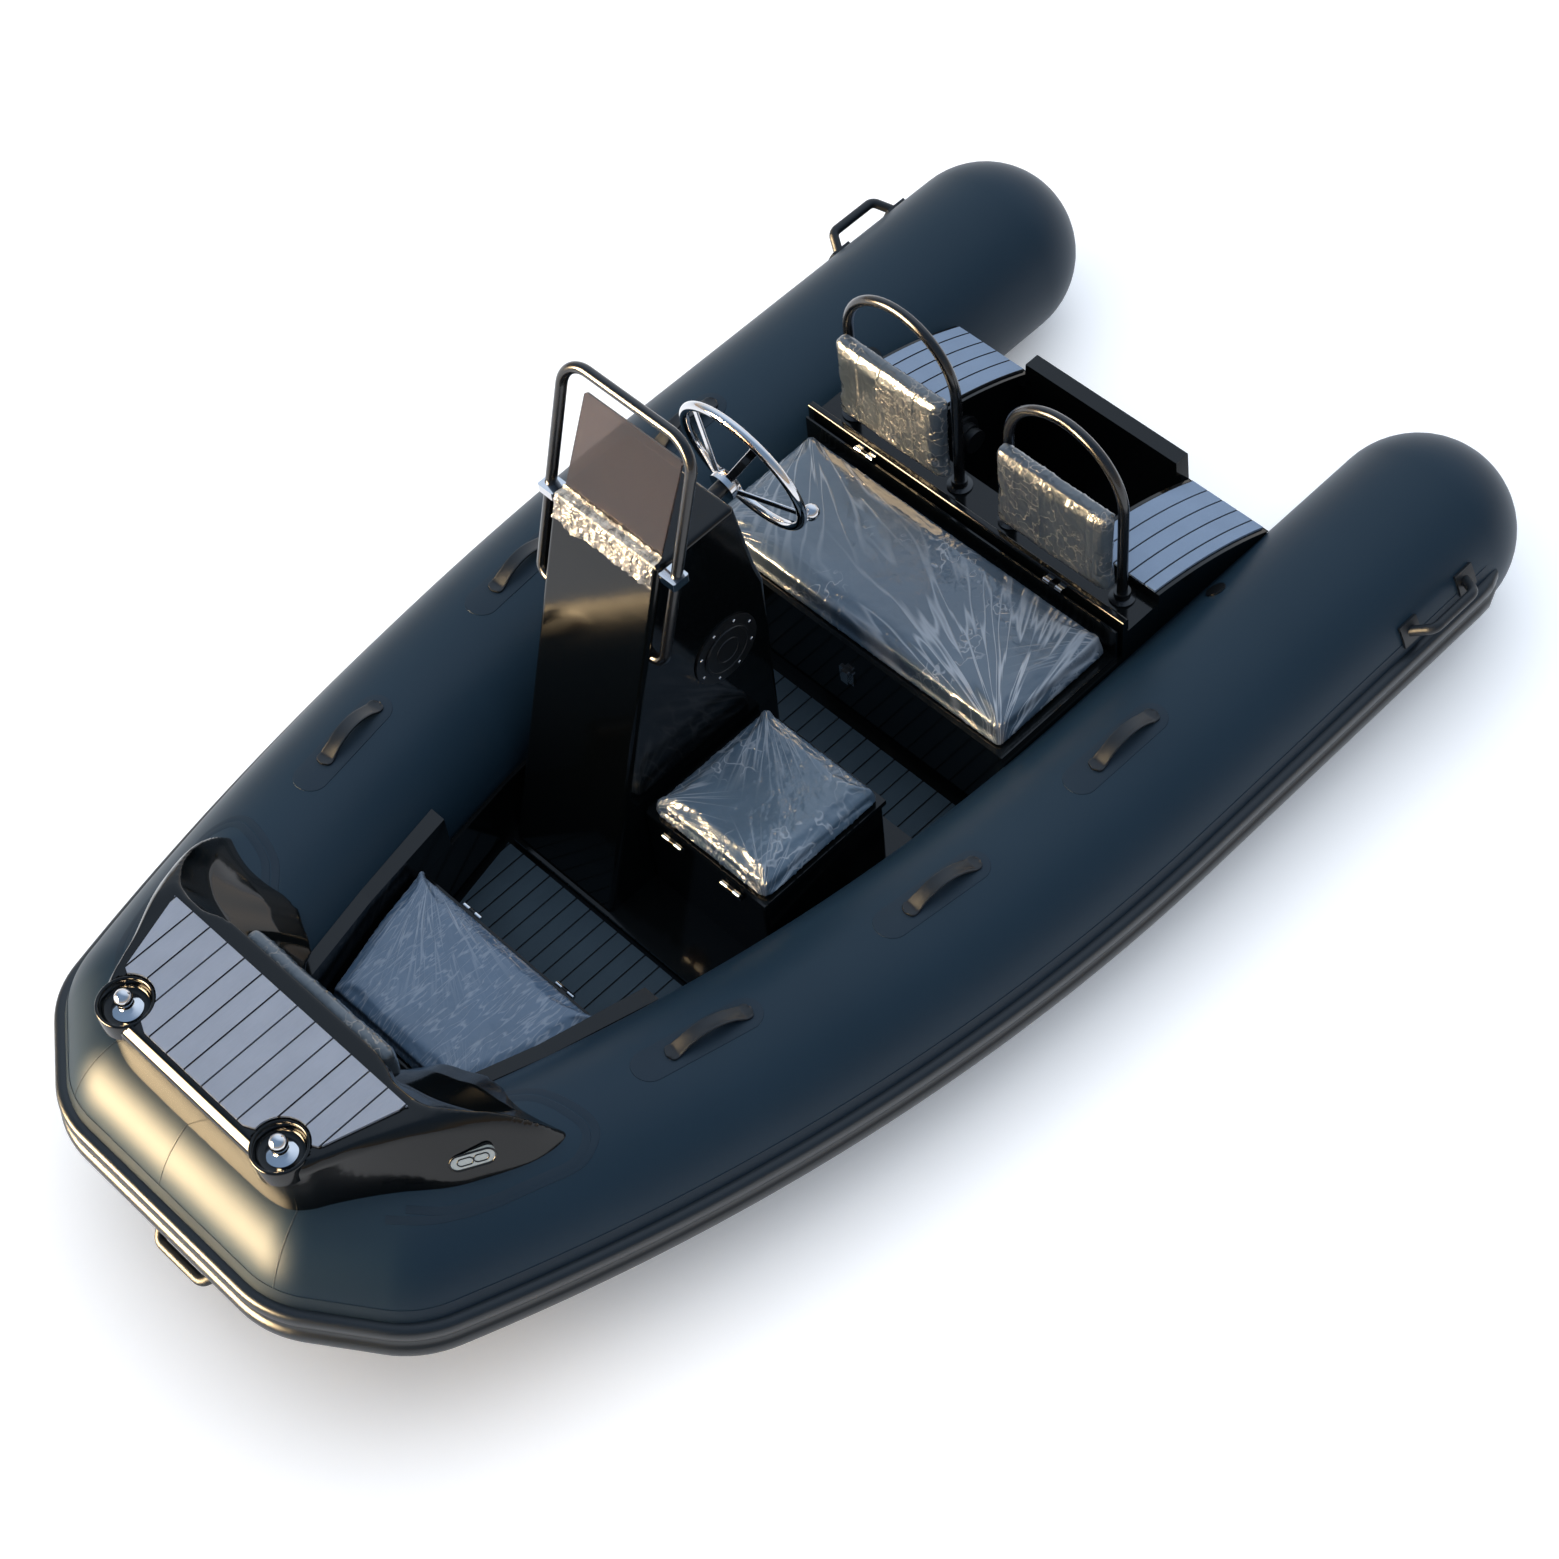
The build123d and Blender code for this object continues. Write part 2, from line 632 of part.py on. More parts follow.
def bench_base():
    """The bench's moulding: a hollow locker with a shelf behind it for the backrests."""
    aft, rail = BENCH_AFT_X, RAIL_X - SEAT_GAP
    outline = [(aft, DECK_Z), (aft, BENCH_SHELF_Z), (rail, BENCH_SHELF_Z), (rail, BENCH_LID_Z),
               (BENCH_FRONT_X, BENCH_LID_Z), (BENCH_FRONT_X, DECK_Z)]
    body = clear_of_liner(across(outline, -BENCH_HALF_WIDTH, BENCH_HALF_WIDTH))
    half = inside_half_width(BENCH_FRONT_X) - BENCH_WALL
    x0, x1 = RAIL_X + RAIL_THICKNESS, BENCH_FRONT_X
    low, high = DECK_Z + BENCH_WALL, BENCH_LID_Z - BENCH_WALL
    hollow = block(aft + BENCH_WALL, x1 - BENCH_WALL, -half, half, low, high)
    mouth = block(x0 + LOCKER_RIM, x1 - LOCKER_RIM, LOCKER_RIM - half, half - LOCKER_RIM, low, BENCH_SHELF_Z)
    return body - hollow - mouth


def hinge(x, z, y, fixed_leaf, moving_leaf):
    """One butt hinge on an axis along Y: its fixed part with the pin, and its moving knuckle."""
    def barrel(y0, y1, radius):
        return rod((x, y0, z), (x, y1, z), radius)

    half, outer = KNUCKLE / 2, 1.5 * KNUCKLE
    fixed = barrel(y - outer, y + outer, PIN_RADIUS)
    for y0, y1 in ((y - outer, y - half), (y + half, y + outer)):
        fixed = fixed + barrel(y0, y1, BARREL_RADIUS) + block(*fixed_leaf[:2], y0, y1, *fixed_leaf[2:])
    inner = half - KNUCKLE_GAP
    moving = barrel(y - inner, y + inner, BARREL_RADIUS)
    moving = moving + block(*moving_leaf[:2], y - inner, y + inner, *moving_leaf[2:])
    moving = moving - barrel(y - inner - 1, y + inner + 1, PIN_RADIUS + PIN_CLEARANCE)
    return fixed, moving


def edge_hinges(wall_x, seat_z, side, places):
    """Hinges outside a locker's wall, on its forward side (1) or its aft side (-1)."""
    pivot = wall_x + side * PIVOT_REACH
    face = wall_x + side * 0.3
    low = seat_z - 3 * BARREL_RADIUS
    fixed_leaf = (*sorted((face, pivot)), low, low + 2 * BARREL_RADIUS + 2)
    moving_leaf = (*sorted((pivot, wall_x + side * 3)), seat_z + LID_GAP + 1, seat_z + LID_GAP + 5)
    pairs = [hinge(pivot, seat_z + 1, y, fixed_leaf, moving_leaf) for y in places]
    return [fixed for fixed, _ in pairs], [moving for _, moving in pairs]


def bench_hinges():
    """Hinges at the head of the rail, for the bench lid's upstand."""
    x, z = BENCH_PIVOT_X, BENCH_PIVOT_Z
    fixed_leaf = (RAIL_X + RAIL_THICKNESS + 0.3, x, z - 2, z + 2)
    moving_leaf = (x - 3, x + 3, z - 4 * BARREL_RADIUS, z - PIN_RADIUS - 1)
    places = (-0.6 * BENCH_HALF_WIDTH, 0.6 * BENCH_HALF_WIDTH)
    pairs = [hinge(x, z, y, fixed_leaf, moving_leaf) for y in places]
    return [fixed for fixed, _ in pairs], [moving for _, moving in pairs]


def bench_lid(knuckles):
    """The bench lid with the upstand that carries its knuckles."""
    x0 = BENCH_PIVOT_X - 3
    low = BENCH_LID_Z + LID_GAP
    half = BENCH_HALF_WIDTH - SIDE_CLEARANCE
    plate = block(x0, BENCH_FRONT_X + 2, -half, half, low, low + LID_THICKNESS)
    upstand = block(x0, x0 + 6, -half, half, low, BENCH_PIVOT_Z - 2 * BARREL_RADIUS)
    lid = plate + upstand
    for knuckle in knuckles:
        lid = lid + knuckle
    return lid


bench_fixed, bench_moving = bench_hinges()
save("transom", transom())
step, pad = aft_step(), aft_step_pad()
save("aft_steps", step, mirrored(step))
save("aft_step_pads", pad, mirrored(pad))
save("bench_base", bench_base())
rail = block(RAIL_X, RAIL_X + RAIL_THICKNESS, -BENCH_HALF_WIDTH, BENCH_HALF_WIDTH, BENCH_LID_Z + 0.3, RAIL_TOP_Z)
save("bench_rail", fillet(rail.edges().filter_by(Axis.Y).group_by(Axis.Z)[-1], 5))
save("bench_hinges", *bench_fixed)
save("bench_lid", bench_lid(bench_moving))


def console_front(z):
    """Station of the console's raked front at a height."""
    return CONSOLE_TOP_FRONT_X + CONSOLE_RAKE * (CONSOLE_TOP_Z - z)


def console():
    """The narrow upright console: raked front, level top and sloping dash."""
    top_aft = CONSOLE_TOP_FRONT_X - CONSOLE_TOP_DEPTH
    drop = CONSOLE_TOP_Z - DASH_BOTTOM_Z
    outline = [
        (console_front(PLINTH_TOP_Z), PLINTH_TOP_Z),
        (CONSOLE_TOP_FRONT_X, CONSOLE_TOP_Z),
        (top_aft, CONSOLE_TOP_Z),
        (top_aft - drop * tan(radians(WHEEL_TILT)), DASH_BOTTOM_Z),
        (CONSOLE_AFT_X, DASH_BOTTOM_Z - DASH_LIP),
        (CONSOLE_AFT_X, PLINTH_TOP_Z),
    ]
    body = across(outline, CONSOLE_STARBOARD_Y, CONSOLE_PORT_Y)
    sharp = body.edges().filter_by(lambda edge: edge.center().Z > PLINTH_TOP_Z + 1)
    body = fillet(sharp, CONSOLE_ROUND)
    return body - screen_plate(SCREEN_THICKNESS + 2 * SEAT_GAP, SCREEN_SLOT)


def screen_plate(thickness, depth):
    """The windscreen's sheet, let into the console's top by a depth."""
    lean = radians(SCREEN_RAKE_ANGLE)
    foot = Vector(CONSOLE_TOP_FRONT_X - SCREEN_SETBACK, CONSOLE_MIDDLE_Y, CONSOLE_TOP_Z)
    up = Vector(-sin(lean), 0, cos(lean))
    width = CONSOLE_PORT_Y - CONSOLE_STARBOARD_Y - 2 * SCREEN_MARGIN
    length = SCREEN_HEIGHT + depth
    sheet = Plane(origin=foot + up * (length / 2 - depth), x_dir=(0, 1, 0), z_dir=up.cross(Vector(0, 1, 0)))
    return extrude(sheet * RectangleRounded(width, length, 9), thickness / 2, both=True)


def grab_rail():
    """The hoop round the windscreen: a bent tube whose feet turn in to the console's sides."""
    half = (CONSOLE_PORT_Y - CONSOLE_STARBOARD_Y) / 2
    x0 = console_front(GRAB_BOTTOM_Z) - GRAB_SETBACK
    up = Vector(-CONSOLE_RAKE, 0, 1).normalized()
    foot = Vector(x0, CONSOLE_MIDDLE_Y, GRAB_BOTTOM_Z)
    height = (GRAB_TOP_Z - GRAB_BOTTOM_Z) / up.Z
    out, inner = half + GRAB_OUT, half + 0.3
    corners = [(-inner, 0), (-out, 0), (-out, height), (out, height), (out, 0), (inner, 0)]
    points = [foot + Vector(0, across_y, 0) + up * along for across_y, along in corners]
    bends = [GRAB_OUT - 1, GRAB_CORNER, GRAB_CORNER, GRAB_OUT - 1]
    return bar_along(FilletPolyline(*points, radius=bends), GRAB_TUBE / 2)


def rail_brackets():
    """A short clamp each side that holds the hoop to the console's upper corners."""
    pieces = []
    z = CONSOLE_TOP_Z - BRACKET_DROP
    x = console_front(z) - GRAB_SETBACK
    for side in (1, -1):
        face = CONSOLE_MIDDLE_Y + side * ((CONSOLE_PORT_Y - CONSOLE_STARBOARD_Y) / 2 + 0.3)
        rail = CONSOLE_MIDDLE_Y + side * ((CONSOLE_PORT_Y - CONSOLE_STARBOARD_Y) / 2 + GRAB_OUT)
        y0, y1 = sorted((face, rail + side * (GRAB_TUBE / 2 + BRACKET_WALL)))
        half, tall = BRACKET_LENGTH / 2, BRACKET_HEIGHT / 2
        clamp = block(x - half, x + half, y0, y1, z - tall, z + tall)
        up = Vector(-CONSOLE_RAKE, 0, 1).normalized()
        middle = Vector(x, rail, z)
        reach = up * (2 * BRACKET_HEIGHT)
        bore = rod(middle - reach, middle + reach, GRAB_TUBE / 2 + SOFT_GAP)
        pieces.append(fillet(clamp.edges().filter_by(Axis.Z), BRACKET_WALL) - bore)
    return pieces


def wheel_place():
    """The steering wheel's plane: its Z is the shaft, pointing at the helmsman."""
    lean = radians(WHEEL_TILT)
    return Plane(origin=(WHEEL_X, CONSOLE_MIDDLE_Y, WHEEL_Z), x_dir=(0, 1, 0), z_dir=(-cos(lean), 0, sin(lean)))


def steering_wheel():
    """The dished wheel: a round rim, flat spokes swept up from the hub, and a turning knob."""
    half_rim = revolve(Plane.YZ * Pos(WHEEL_RADIUS, 0) * Circle(RIM_TUBE / 2), axis=Axis.Z, revolution_arc=180)
    wheel = Pos(0, 0, -HUB_DISH) * Cylinder(HUB_RADIUS, HUB_HEIGHT)
    dish = atan2(HUB_DISH, WHEEL_RADIUS - HUB_RADIUS)
    foot = Plane(origin=(HUB_RADIUS - SPOKE_ROOT, 0, -HUB_DISH), x_dir=(0, 1, 0), z_dir=(cos(dish), 0, sin(dish)))
    length = (WHEEL_RADIUS - HUB_RADIUS + SPOKE_ROOT) / cos(dish)
    spoke = extrude(foot * SlotOverall(SPOKE_WIDTH, SPOKE_THICKNESS), length)
    for count in range(SPOKE_COUNT):
        wheel = wheel + Rot(0, 0, 360 * count / SPOKE_COUNT + SPOKE_START) * spoke
    stem = Pos(-WHEEL_RADIUS, 0, KNOB_STEM / 2) * Cylinder(KNOB_RADIUS / 2, KNOB_STEM)
    knob = Pos(-WHEEL_RADIUS, 0, KNOB_STEM + KNOB_RADIUS / 2) * Sphere(KNOB_RADIUS)
    wheel = wheel + (half_rim + stem + knob) + Rot(0, 0, 180) * half_rim
    return wheel_place() * Rot(0, 0, KNOB_ANGLE) * wheel


def helm():
    """The helm's round bezel on the dash and the shaft that carries the wheel."""
    place = wheel_place()
    face = 0.3 - dash_depth()
    back = -HUB_DISH - HUB_HEIGHT / 2 - 0.3
    bezel = Pos(0, 0, face + BEZEL_HEIGHT / 2) * Cone(BEZEL_RADIUS, BEZEL_RADIUS - BEZEL_HEIGHT, BEZEL_HEIGHT)
    shaft = Pos(0, 0, (face + back) / 2) * Cylinder(SHAFT_RADIUS, back - face)
    return place * (bezel + shaft)


def dash_depth():
    """Distance from the wheel's plane down to the dash along the shaft."""
    place = wheel_place()
    top_aft = Vector(CONSOLE_TOP_FRONT_X - CONSOLE_TOP_DEPTH, CONSOLE_MIDDLE_Y, CONSOLE_TOP_Z)
    return (place.origin - top_aft).dot(place.z_dir)


def round_hatch():
    """The screwed inspection plate on the console's port side."""
    y = CONSOLE_PORT_Y + 0.3
    side = Plane(origin=(HATCH_X, y, HATCH_Z), x_dir=(1, 0, 0), z_dir=(0, 1, 0))
    plate = extrude(side * Circle(HATCH_RADIUS), HATCH_RIM)
    return plate + extrude(side * Circle(HATCH_PLUG_RADIUS), HATCH_PROUD)


def open_box(x0, x1, y0, y1, z0, z1, wall, rim):
    """A locker with thin walls, a floor and a turned-in rim round its mouth."""
    body = block(x0, x1, y0, y1, z0, z1)
    hollow = block(x0 + wall, x1 - wall, y0 + wall, y1 - wall, z0 + wall, z1 - wall)
    mouth = block(x0 + rim, x1 - rim, y0 + rim, y1 - rim, z0 + wall, z1 + 1)
    return fillet(body.edges().filter_by(Axis.Z), 10) - hollow - mouth


def locker_outline(x0, x1, inset):
    """Plan outline of the bow locker between two stations, inside the moulding's sides."""
    stations = [x0, *[x for x in LINER_STATIONS if x0 < x < x1], x1]
    port = [(x, inside_half_width(x) - inset) for x in stations]
    return port + [(x, -y) for x, y in reversed(port)]


def bow_locker():
    """The bow locker: an aft bulkhead, a rimmed mouth and a fixed shelf under the backrest."""
    x0, x1 = BOW_SEAT_AFT_X, BOW_LOCKER_FRONT_X
    body = flat(locker_outline(x0, x1, SEAT_GAP), DECK_Z, BOW_LID_Z)
    hollow = flat(locker_outline(x0 + BENCH_WALL, x1 - BENCH_WALL, BENCH_WALL), 0, BOW_LID_Z - BENCH_WALL)
    mouth = flat(locker_outline(x0 + LOCKER_RIM, BOW_LID_FRONT_X - LOCKER_RIM, LOCKER_RIM), 0, 2 * BOW_LID_Z)
    wedge = [(FLOOR_RISE_X, DECK_Z), (x1 + 50, floor_z(x1 + 50)), (x1 + 50, 0), (FLOOR_RISE_X, 0)]
    return body - hollow - mouth - across(wedge, -TUBE_HALF_SPACING, TUBE_HALF_SPACING)


def bow_lid(knuckles):
    """The bow locker's lid with its knuckles at the aft edge."""
    outline = locker_outline(BOW_SEAT_AFT_X - 4, BOW_LID_FRONT_X - SIDE_CLEARANCE, SIDE_CLEARANCE)
    lid = flat(outline, BOW_LID_Z + LID_GAP, BOW_LID_Z + LID_GAP + LID_THICKNESS)
    for knuckle in knuckles:
        lid = lid + knuckle
    return lid


def bow_cushion():
    """The bow seat's cushion on its lid."""
    low = BOW_LID_Z + LID_GAP + LID_THICKNESS + 0.3
    outline = locker_outline(BOW_SEAT_AFT_X + 2, BOW_LID_FRONT_X - SIDE_CLEARANCE - 2, SIDE_CLEARANCE + 1)
    body = flat(outline, low, BOW_CUSHION_Z)
    return fillet(body.edges().group_by(Axis.Z)[-1], CUSHION_ROUND / 2)


def coaming():
    """The port coaming: the inner moulding's side carried up and turned out over the tube."""
    def section(x):
        inside = inside_half_width(x)
        low = liner_top_z(x) + SEAT_GAP
        top = liner_top_z(x) + COAMING_ABOVE_AXIS
        under = top - 12
        points = [
            (inside, low), (inside + LINER_WALL, low), (inside + LINER_WALL, under),
            (inner_y(x, under, HULL_TUBE_GAP), under), (inner_y(x, top, HULL_TUBE_GAP), top), (inside, top),
        ]
        upright = Plane(origin=(x, 0, 0), x_dir=(0, 1, 0), z_dir=(1, 0, 0))
        return upright * make_face(Polyline(*points, close=True))

    stations = [COAMING_AFT_X, *[x for x in LINER_STATIONS if x > COAMING_AFT_X]]
    return loft([section(x) for x in stations], ruled=True)


def past_corner(corner):
    """A point in plan, ahead of the bow chamber's axis and beyond its corner."""
    ahead, beyond = corner
    return BOW_FRONT.X + ahead * STEP_SCALE, BOW_FRONT.Y + beyond * STEP_SCALE


def both_sides(port):
    """A plan outline of port corners, aft first, and the same corners to starboard."""
    return port + [(x, -y) for x, y in reversed(port)]


def bow_outline(column):
    """Plan outline of the bow step at one level, from a column of its corners ahead of the back."""
    back_y = BOW_FRONT.Y + column[0][1] * STEP_SCALE
    return both_sides([(BOW_LOCKER_FRONT_X + 2, back_y), *[past_corner(corner) for corner in column[1:]]])


def level_loft(outlines):
    """A solid with flat sides between plan outlines, each given with its height."""
    return loft([Pos(0, 0, z) * make_face(Polyline(*points, close=True)) for points, z in outlines], ruled=True)


def light_place():
    """The port navigation light's plane on the wing's outer face: its Z points out of the face."""
    origin = Vector(*past_corner((-LIGHT_ASTERN, LIGHT_BEYOND)), BOW_FRONT.Z + LIGHT_RISE * STEP_SCALE)
    outward = Vector(0.46, 0.83, 0.31).normalized()
    return Plane(origin=origin, x_dir=outward.cross(Vector(0, 0, 1)), z_dir=outward)


def navigation_light(gap):
    """The port navigation light's oval body, let into the wing, grown by a gap for its pocket."""
    body = light_place() * Pos(0, 0, -LIGHT_DEPTH - gap)
    oval = SlotOverall(LIGHT_LENGTH + 2 * gap, LIGHT_WIDTH + 2 * gap)
    return extrude(body * oval, (3 * LIGHT_DEPTH if gap else LIGHT_DEPTH + LIGHT_PROUD) + gap)


def bow_step():
    """The moulded step on the bow: a level top, flared sides on the tubes and a wing each side."""
    # ahead of the bow chamber's axis and beyond its corner: at the top, then at the base
    corners = (
        ((None, 6), (None, 13)),
        ((-192, 143), (-192, 221)),
        ((-166, 154), (-152, 214)),
        ((-51, 91), (-66, 139)),
        ((32, 54), (72, 41)),
        ((82, -63), (137, -17)),
    )
    # the wing's back corner, tip and outer corner, each ahead and beyond, and its height
    wing_rows = (
        ((-226, -9), (-192, 143), (-164, 154), STEP_TOP_Z),
        ((-274, 13), (-292, 225), (-156, 176), STEP_RIDGE_Z),
        ((-356, 51), (-407, 296), (-152, 221), STEP_BASE_Z),
    )
    base = bow_outline([row[1] for row in corners])
    body = level_loft([(base, STEP_BASE_Z), (bow_outline([row[0] for row in corners]), STEP_TOP_Z)])
    wing = level_loft([([past_corner(corner) for corner in row[:3]], row[3]) for row in wing_rows])
    back = BOW_LOCKER_FRONT_X + 2
    half = BOW_FRONT.Y + 5
    wall = block(back, back + 12, -half, half, BOW_LID_Z + 0.3, STEP_TOP_Z - 20)
    body = seated(body + wing + mirrored(wing) + wall, *seats, bow_seat)
    pocket = navigation_light(SEAT_GAP)
    dish = Pos(BITT_X, BITT_Y, STEP_TOP_Z) * Cylinder(BITT_DISH_RADIUS, 2 * BITT_DISH_DEPTH)
    return body - pocket - mirrored(pocket) - dish - mirrored(dish)


def bow_pad():
    """The bow step's foam pad, cut round the bitts' dishes."""
    # corners ahead of the bow chamber's axis and beyond its corner
    rows = ((-184, 105), (-11, 48), (58, -99))
    pad = planked(both_sides([past_corner(corner) for corner in rows]), STEP_TOP_Z, BOW_PLANK_WIDTH)
    rim = Pos(BITT_X, BITT_Y, STEP_TOP_Z) * Cylinder(BITT_DISH_RADIUS + 7, 40)
    return pad - rim - mirrored(rim)


def bitt():
    """The port mooring bitt: a flange, a waisted post and a ball, turned in one piece."""
    low = STEP_TOP_Z - BITT_DISH_DEPTH + 0.3
    flange, neck, thick = BITT_FLANGE, BITT_NECK, BITT_FLANGE_THICKNESS
    profile = Polyline((0, 0), (flange, 0), (flange, thick), (neck * 4 / 3, 2 * thick), (neck, BITT_NECK_RISE * 0.8),
                       (neck, BITT_NECK_RISE), (0, BITT_NECK_RISE), (0, 0))
    post = revolve(Plane.XZ * make_face(profile), axis=Axis.Z)
    ball = Pos(0, 0, BITT_BALL_RISE) * Sphere(BITT_BALL)
    return Pos(BITT_X, BITT_Y, low) * (post + ball)


def hoop():
    """The port backrest's hoop: an upright U turned over, from a tube."""
    radius = (HOOP_OUTER_Y - HOOP_INNER_Y) / 2
    spring = HOOP_TOP_Z - radius
    foot = BENCH_SHELF_Z + 0.3
    middle = (HOOP_INNER_Y + HOOP_OUTER_Y) / 2
    legs = [rod((HOOP_X, y, foot), (HOOP_X, y, spring), HOOP_TUBE / 2) for y in (HOOP_INNER_Y, HOOP_OUTER_Y)]
    ring = Plane(origin=(HOOP_X, HOOP_INNER_Y, spring)) * Circle(HOOP_TUBE / 2)
    axis = Axis(origin=(HOOP_X, middle, spring), direction=(1, 0, 0))
    arch = revolve(ring, axis=axis, revolution_arc=-180)
    return legs[0] + arch + legs[1]


def socket(y):
    """A hoop leg's flanged socket on the bench's shelf."""
    bore, thick = HOOP_TUBE / 2 + SOFT_GAP, SOCKET_FLANGE_THICKNESS
    profile = Polyline((bore, 0), (SOCKET_FLANGE, 0), (SOCKET_FLANGE, thick), (SOCKET_RADIUS, 1.75 * thick),
                       (SOCKET_RADIUS, SOCKET_HEIGHT), (bore, SOCKET_HEIGHT), close=True)
    return Pos(HOOP_X, y, BENCH_SHELF_Z + 0.3) * revolve(Plane.XZ * make_face(profile), axis=Axis.Z)


def strap(x):
    """A webbing grab strap arched over the port tube's crest."""
    place = tube_frame(x)
    crown = TUBE_RADIUS + SEAT_GAP
    half, foot = STRAP_LENGTH / 2, STRAP_FOOT
    rise, thick = STRAP_RISE, STRAP_THICKNESS
    under = ThreePointArc((-half, thick), (0, rise), (half, thick))
    over = ThreePointArc((half, thick * 2), (0, rise + thick), (-half, thick * 2))
    ends = [
        Polyline((half, thick), (half, 0), (half + foot, 0), (half + foot, thick), (half, thick * 2)),
        Polyline((-half, thick * 2), (-half - foot, thick), (-half - foot, 0), (-half, 0), (-half, thick)),
    ]
    ahead = place.z_dir
    side = Plane(origin=place.origin + place.y_dir * crown, x_dir=ahead, z_dir=ahead.cross(place.y_dir))
    return extrude(side * make_face([under, over, *ends]), STRAP_WIDTH / 2, both=True)


def along_run(run, distance):
    """The section plane of a straight run of tube, moved along it."""
    return Plane(origin=run.origin + run.z_dir * distance, x_dir=run.x_dir, z_dir=run.z_dir)


def tube_pad(run, start, end):
    """A patch that follows the tube's curve between two places along a straight run."""
    ring = Circle(TUBE_RADIUS + SEAT_GAP + PATCH_THICKNESS) - Circle(TUBE_RADIUS + SEAT_GAP)
    ring = ring & Pos(TUBE_RADIUS, 0) * Rectangle(TUBE_RADIUS, PATCH_WIDTH)
    return extrude(along_run(run, start) * ring, end - start)


def moulded_handle(run):
    """A carrying handle: a bowed grip between two patches, on a straight run of tube.

    The run's Z lies along the tube and its X points out of the tube through the handle.
    """
    half = HANDLE_LENGTH / 2
    crown = TUBE_RADIUS + SEAT_GAP + 1
    points = [(crown, -half + PATCH_WIDTH / 2), (crown + HANDLE_REACH, -half + PATCH_WIDTH),
              (crown + HANDLE_REACH, half - PATCH_WIDTH), (crown, half - PATCH_WIDTH / 2)]
    places = [run.origin + run.x_dir * out + run.z_dir * along for out, along in points]
    grip = bar_along(FilletPolyline(*places, radius=HANDLE_REACH / 2), HANDLE_TUBE / 2)
    core = extrude(along_run(run, -half) * Circle(crown), 2 * half)
    return grip - core + tube_pad(run, -half, PATCH_WIDTH - half) + tube_pad(run, half - PATCH_WIDTH, half)


def stern_handle():
    """The port stern handle, above the strake on the tube's outboard side."""
    lean = radians(HANDLE_ANGLE)
    run = Plane(origin=(STERN_HANDLE_X, TUBE_HALF_SPACING, TUBE_AXIS_Z), x_dir=(0, cos(lean), sin(lean)), z_dir=AHEAD)
    return moulded_handle(run)


def bow_handle():
    """The handle under the strake on the front of the bow chamber."""
    lean = radians(BOW_HANDLE_ANGLE)
    out = BOW_SLOPE * cos(lean) - BOW_SLOPE.cross(PORT) * sin(lean)
    return moulded_handle(Plane(origin=(BOW_FRONT.X, 0, BOW_FRONT.Z), x_dir=out, z_dir=PORT))


def bench_latch():
    """The over-centre latch on the bench's front: a plate with a raised lever."""
    x = BENCH_FRONT_X + SOFT_GAP
    plate = block(x, x + 4, -LATCH_HALF, LATCH_HALF, LATCH_Z - LATCH_HALF, LATCH_Z + LATCH_HALF)
    lever = block(x + 4, x + 12, -LATCH_HALF / 2, LATCH_HALF / 2, LATCH_Z - 0.8 * LATCH_HALF, LATCH_Z + LATCH_HALF)
    return fillet(plate.edges().filter_by(Axis.X), 4) + fillet(lever.edges().filter_by(Axis.X), 3)


def rigging_boot():
    """The round flanged boot on the starboard step, where the motor's cables come out."""
    wall = SOFT_GAP - STEP_INNER_Y
    # distance out from the step's wall, and the radius up to there
    rows = ((6, BOOT_RADIUS), (22, 0.72 * BOOT_RADIUS), (28, 0.6 * BOOT_RADIUS), (42, 0.66 * BOOT_RADIUS))
    boot, start = None, 0
    for end, radius in rows:
        ring = rod((BOOT_X, wall + start, BOOT_Z), (BOOT_X, wall + end, BOOT_Z), radius)
        boot = ring if boot is None else boot + ring
        start = end
    return boot


def bow_eye():
    """The towing eye on the stem: a bent bar with both ends on the hull."""
    root = BOW_TURN_X - STEM_SETBACK + SOFT_GAP
    half = EYE_WIDTH / 2
    points = [(root, -half, EYE_Z), (root + EYE_REACH, -half, EYE_Z), (root + EYE_REACH, half, EYE_Z), (root, half, EYE_Z)]
    return bar_along(FilletPolyline(*points, radius=half - 1), EYE_BAR / 2)


def valve(origin, outward, hollow):
    """A chamber's valve cap, standing on the tube at a point of its axis, in a direction."""
    cap = rod(origin, origin + outward * (TUBE_RADIUS + VALVE_HEIGHT), VALVE_RADIUS)
    return cap - hollow


def valves():
    """One valve on each chamber: inboard at the stern on the sides, under the strake at the bow."""
    side = Vector(0, -sin(radians(VALVE_ANGLE)), cos(radians(VALVE_ANGLE)))
    port = valve(Vector(VALVE_X, TUBE_HALF_SPACING, TUBE_AXIS_Z), side, seats[0])
    lean = radians(BOW_HANDLE_ANGLE)
    out = BOW_SLOPE * cos(lean) - BOW_SLOPE.cross(PORT) * sin(lean)
    return [port, mirrored(port), valve(Vector(BOW_FRONT.X, -BOW_FRONT.Y, BOW_FRONT.Z), out, bow_seat)]


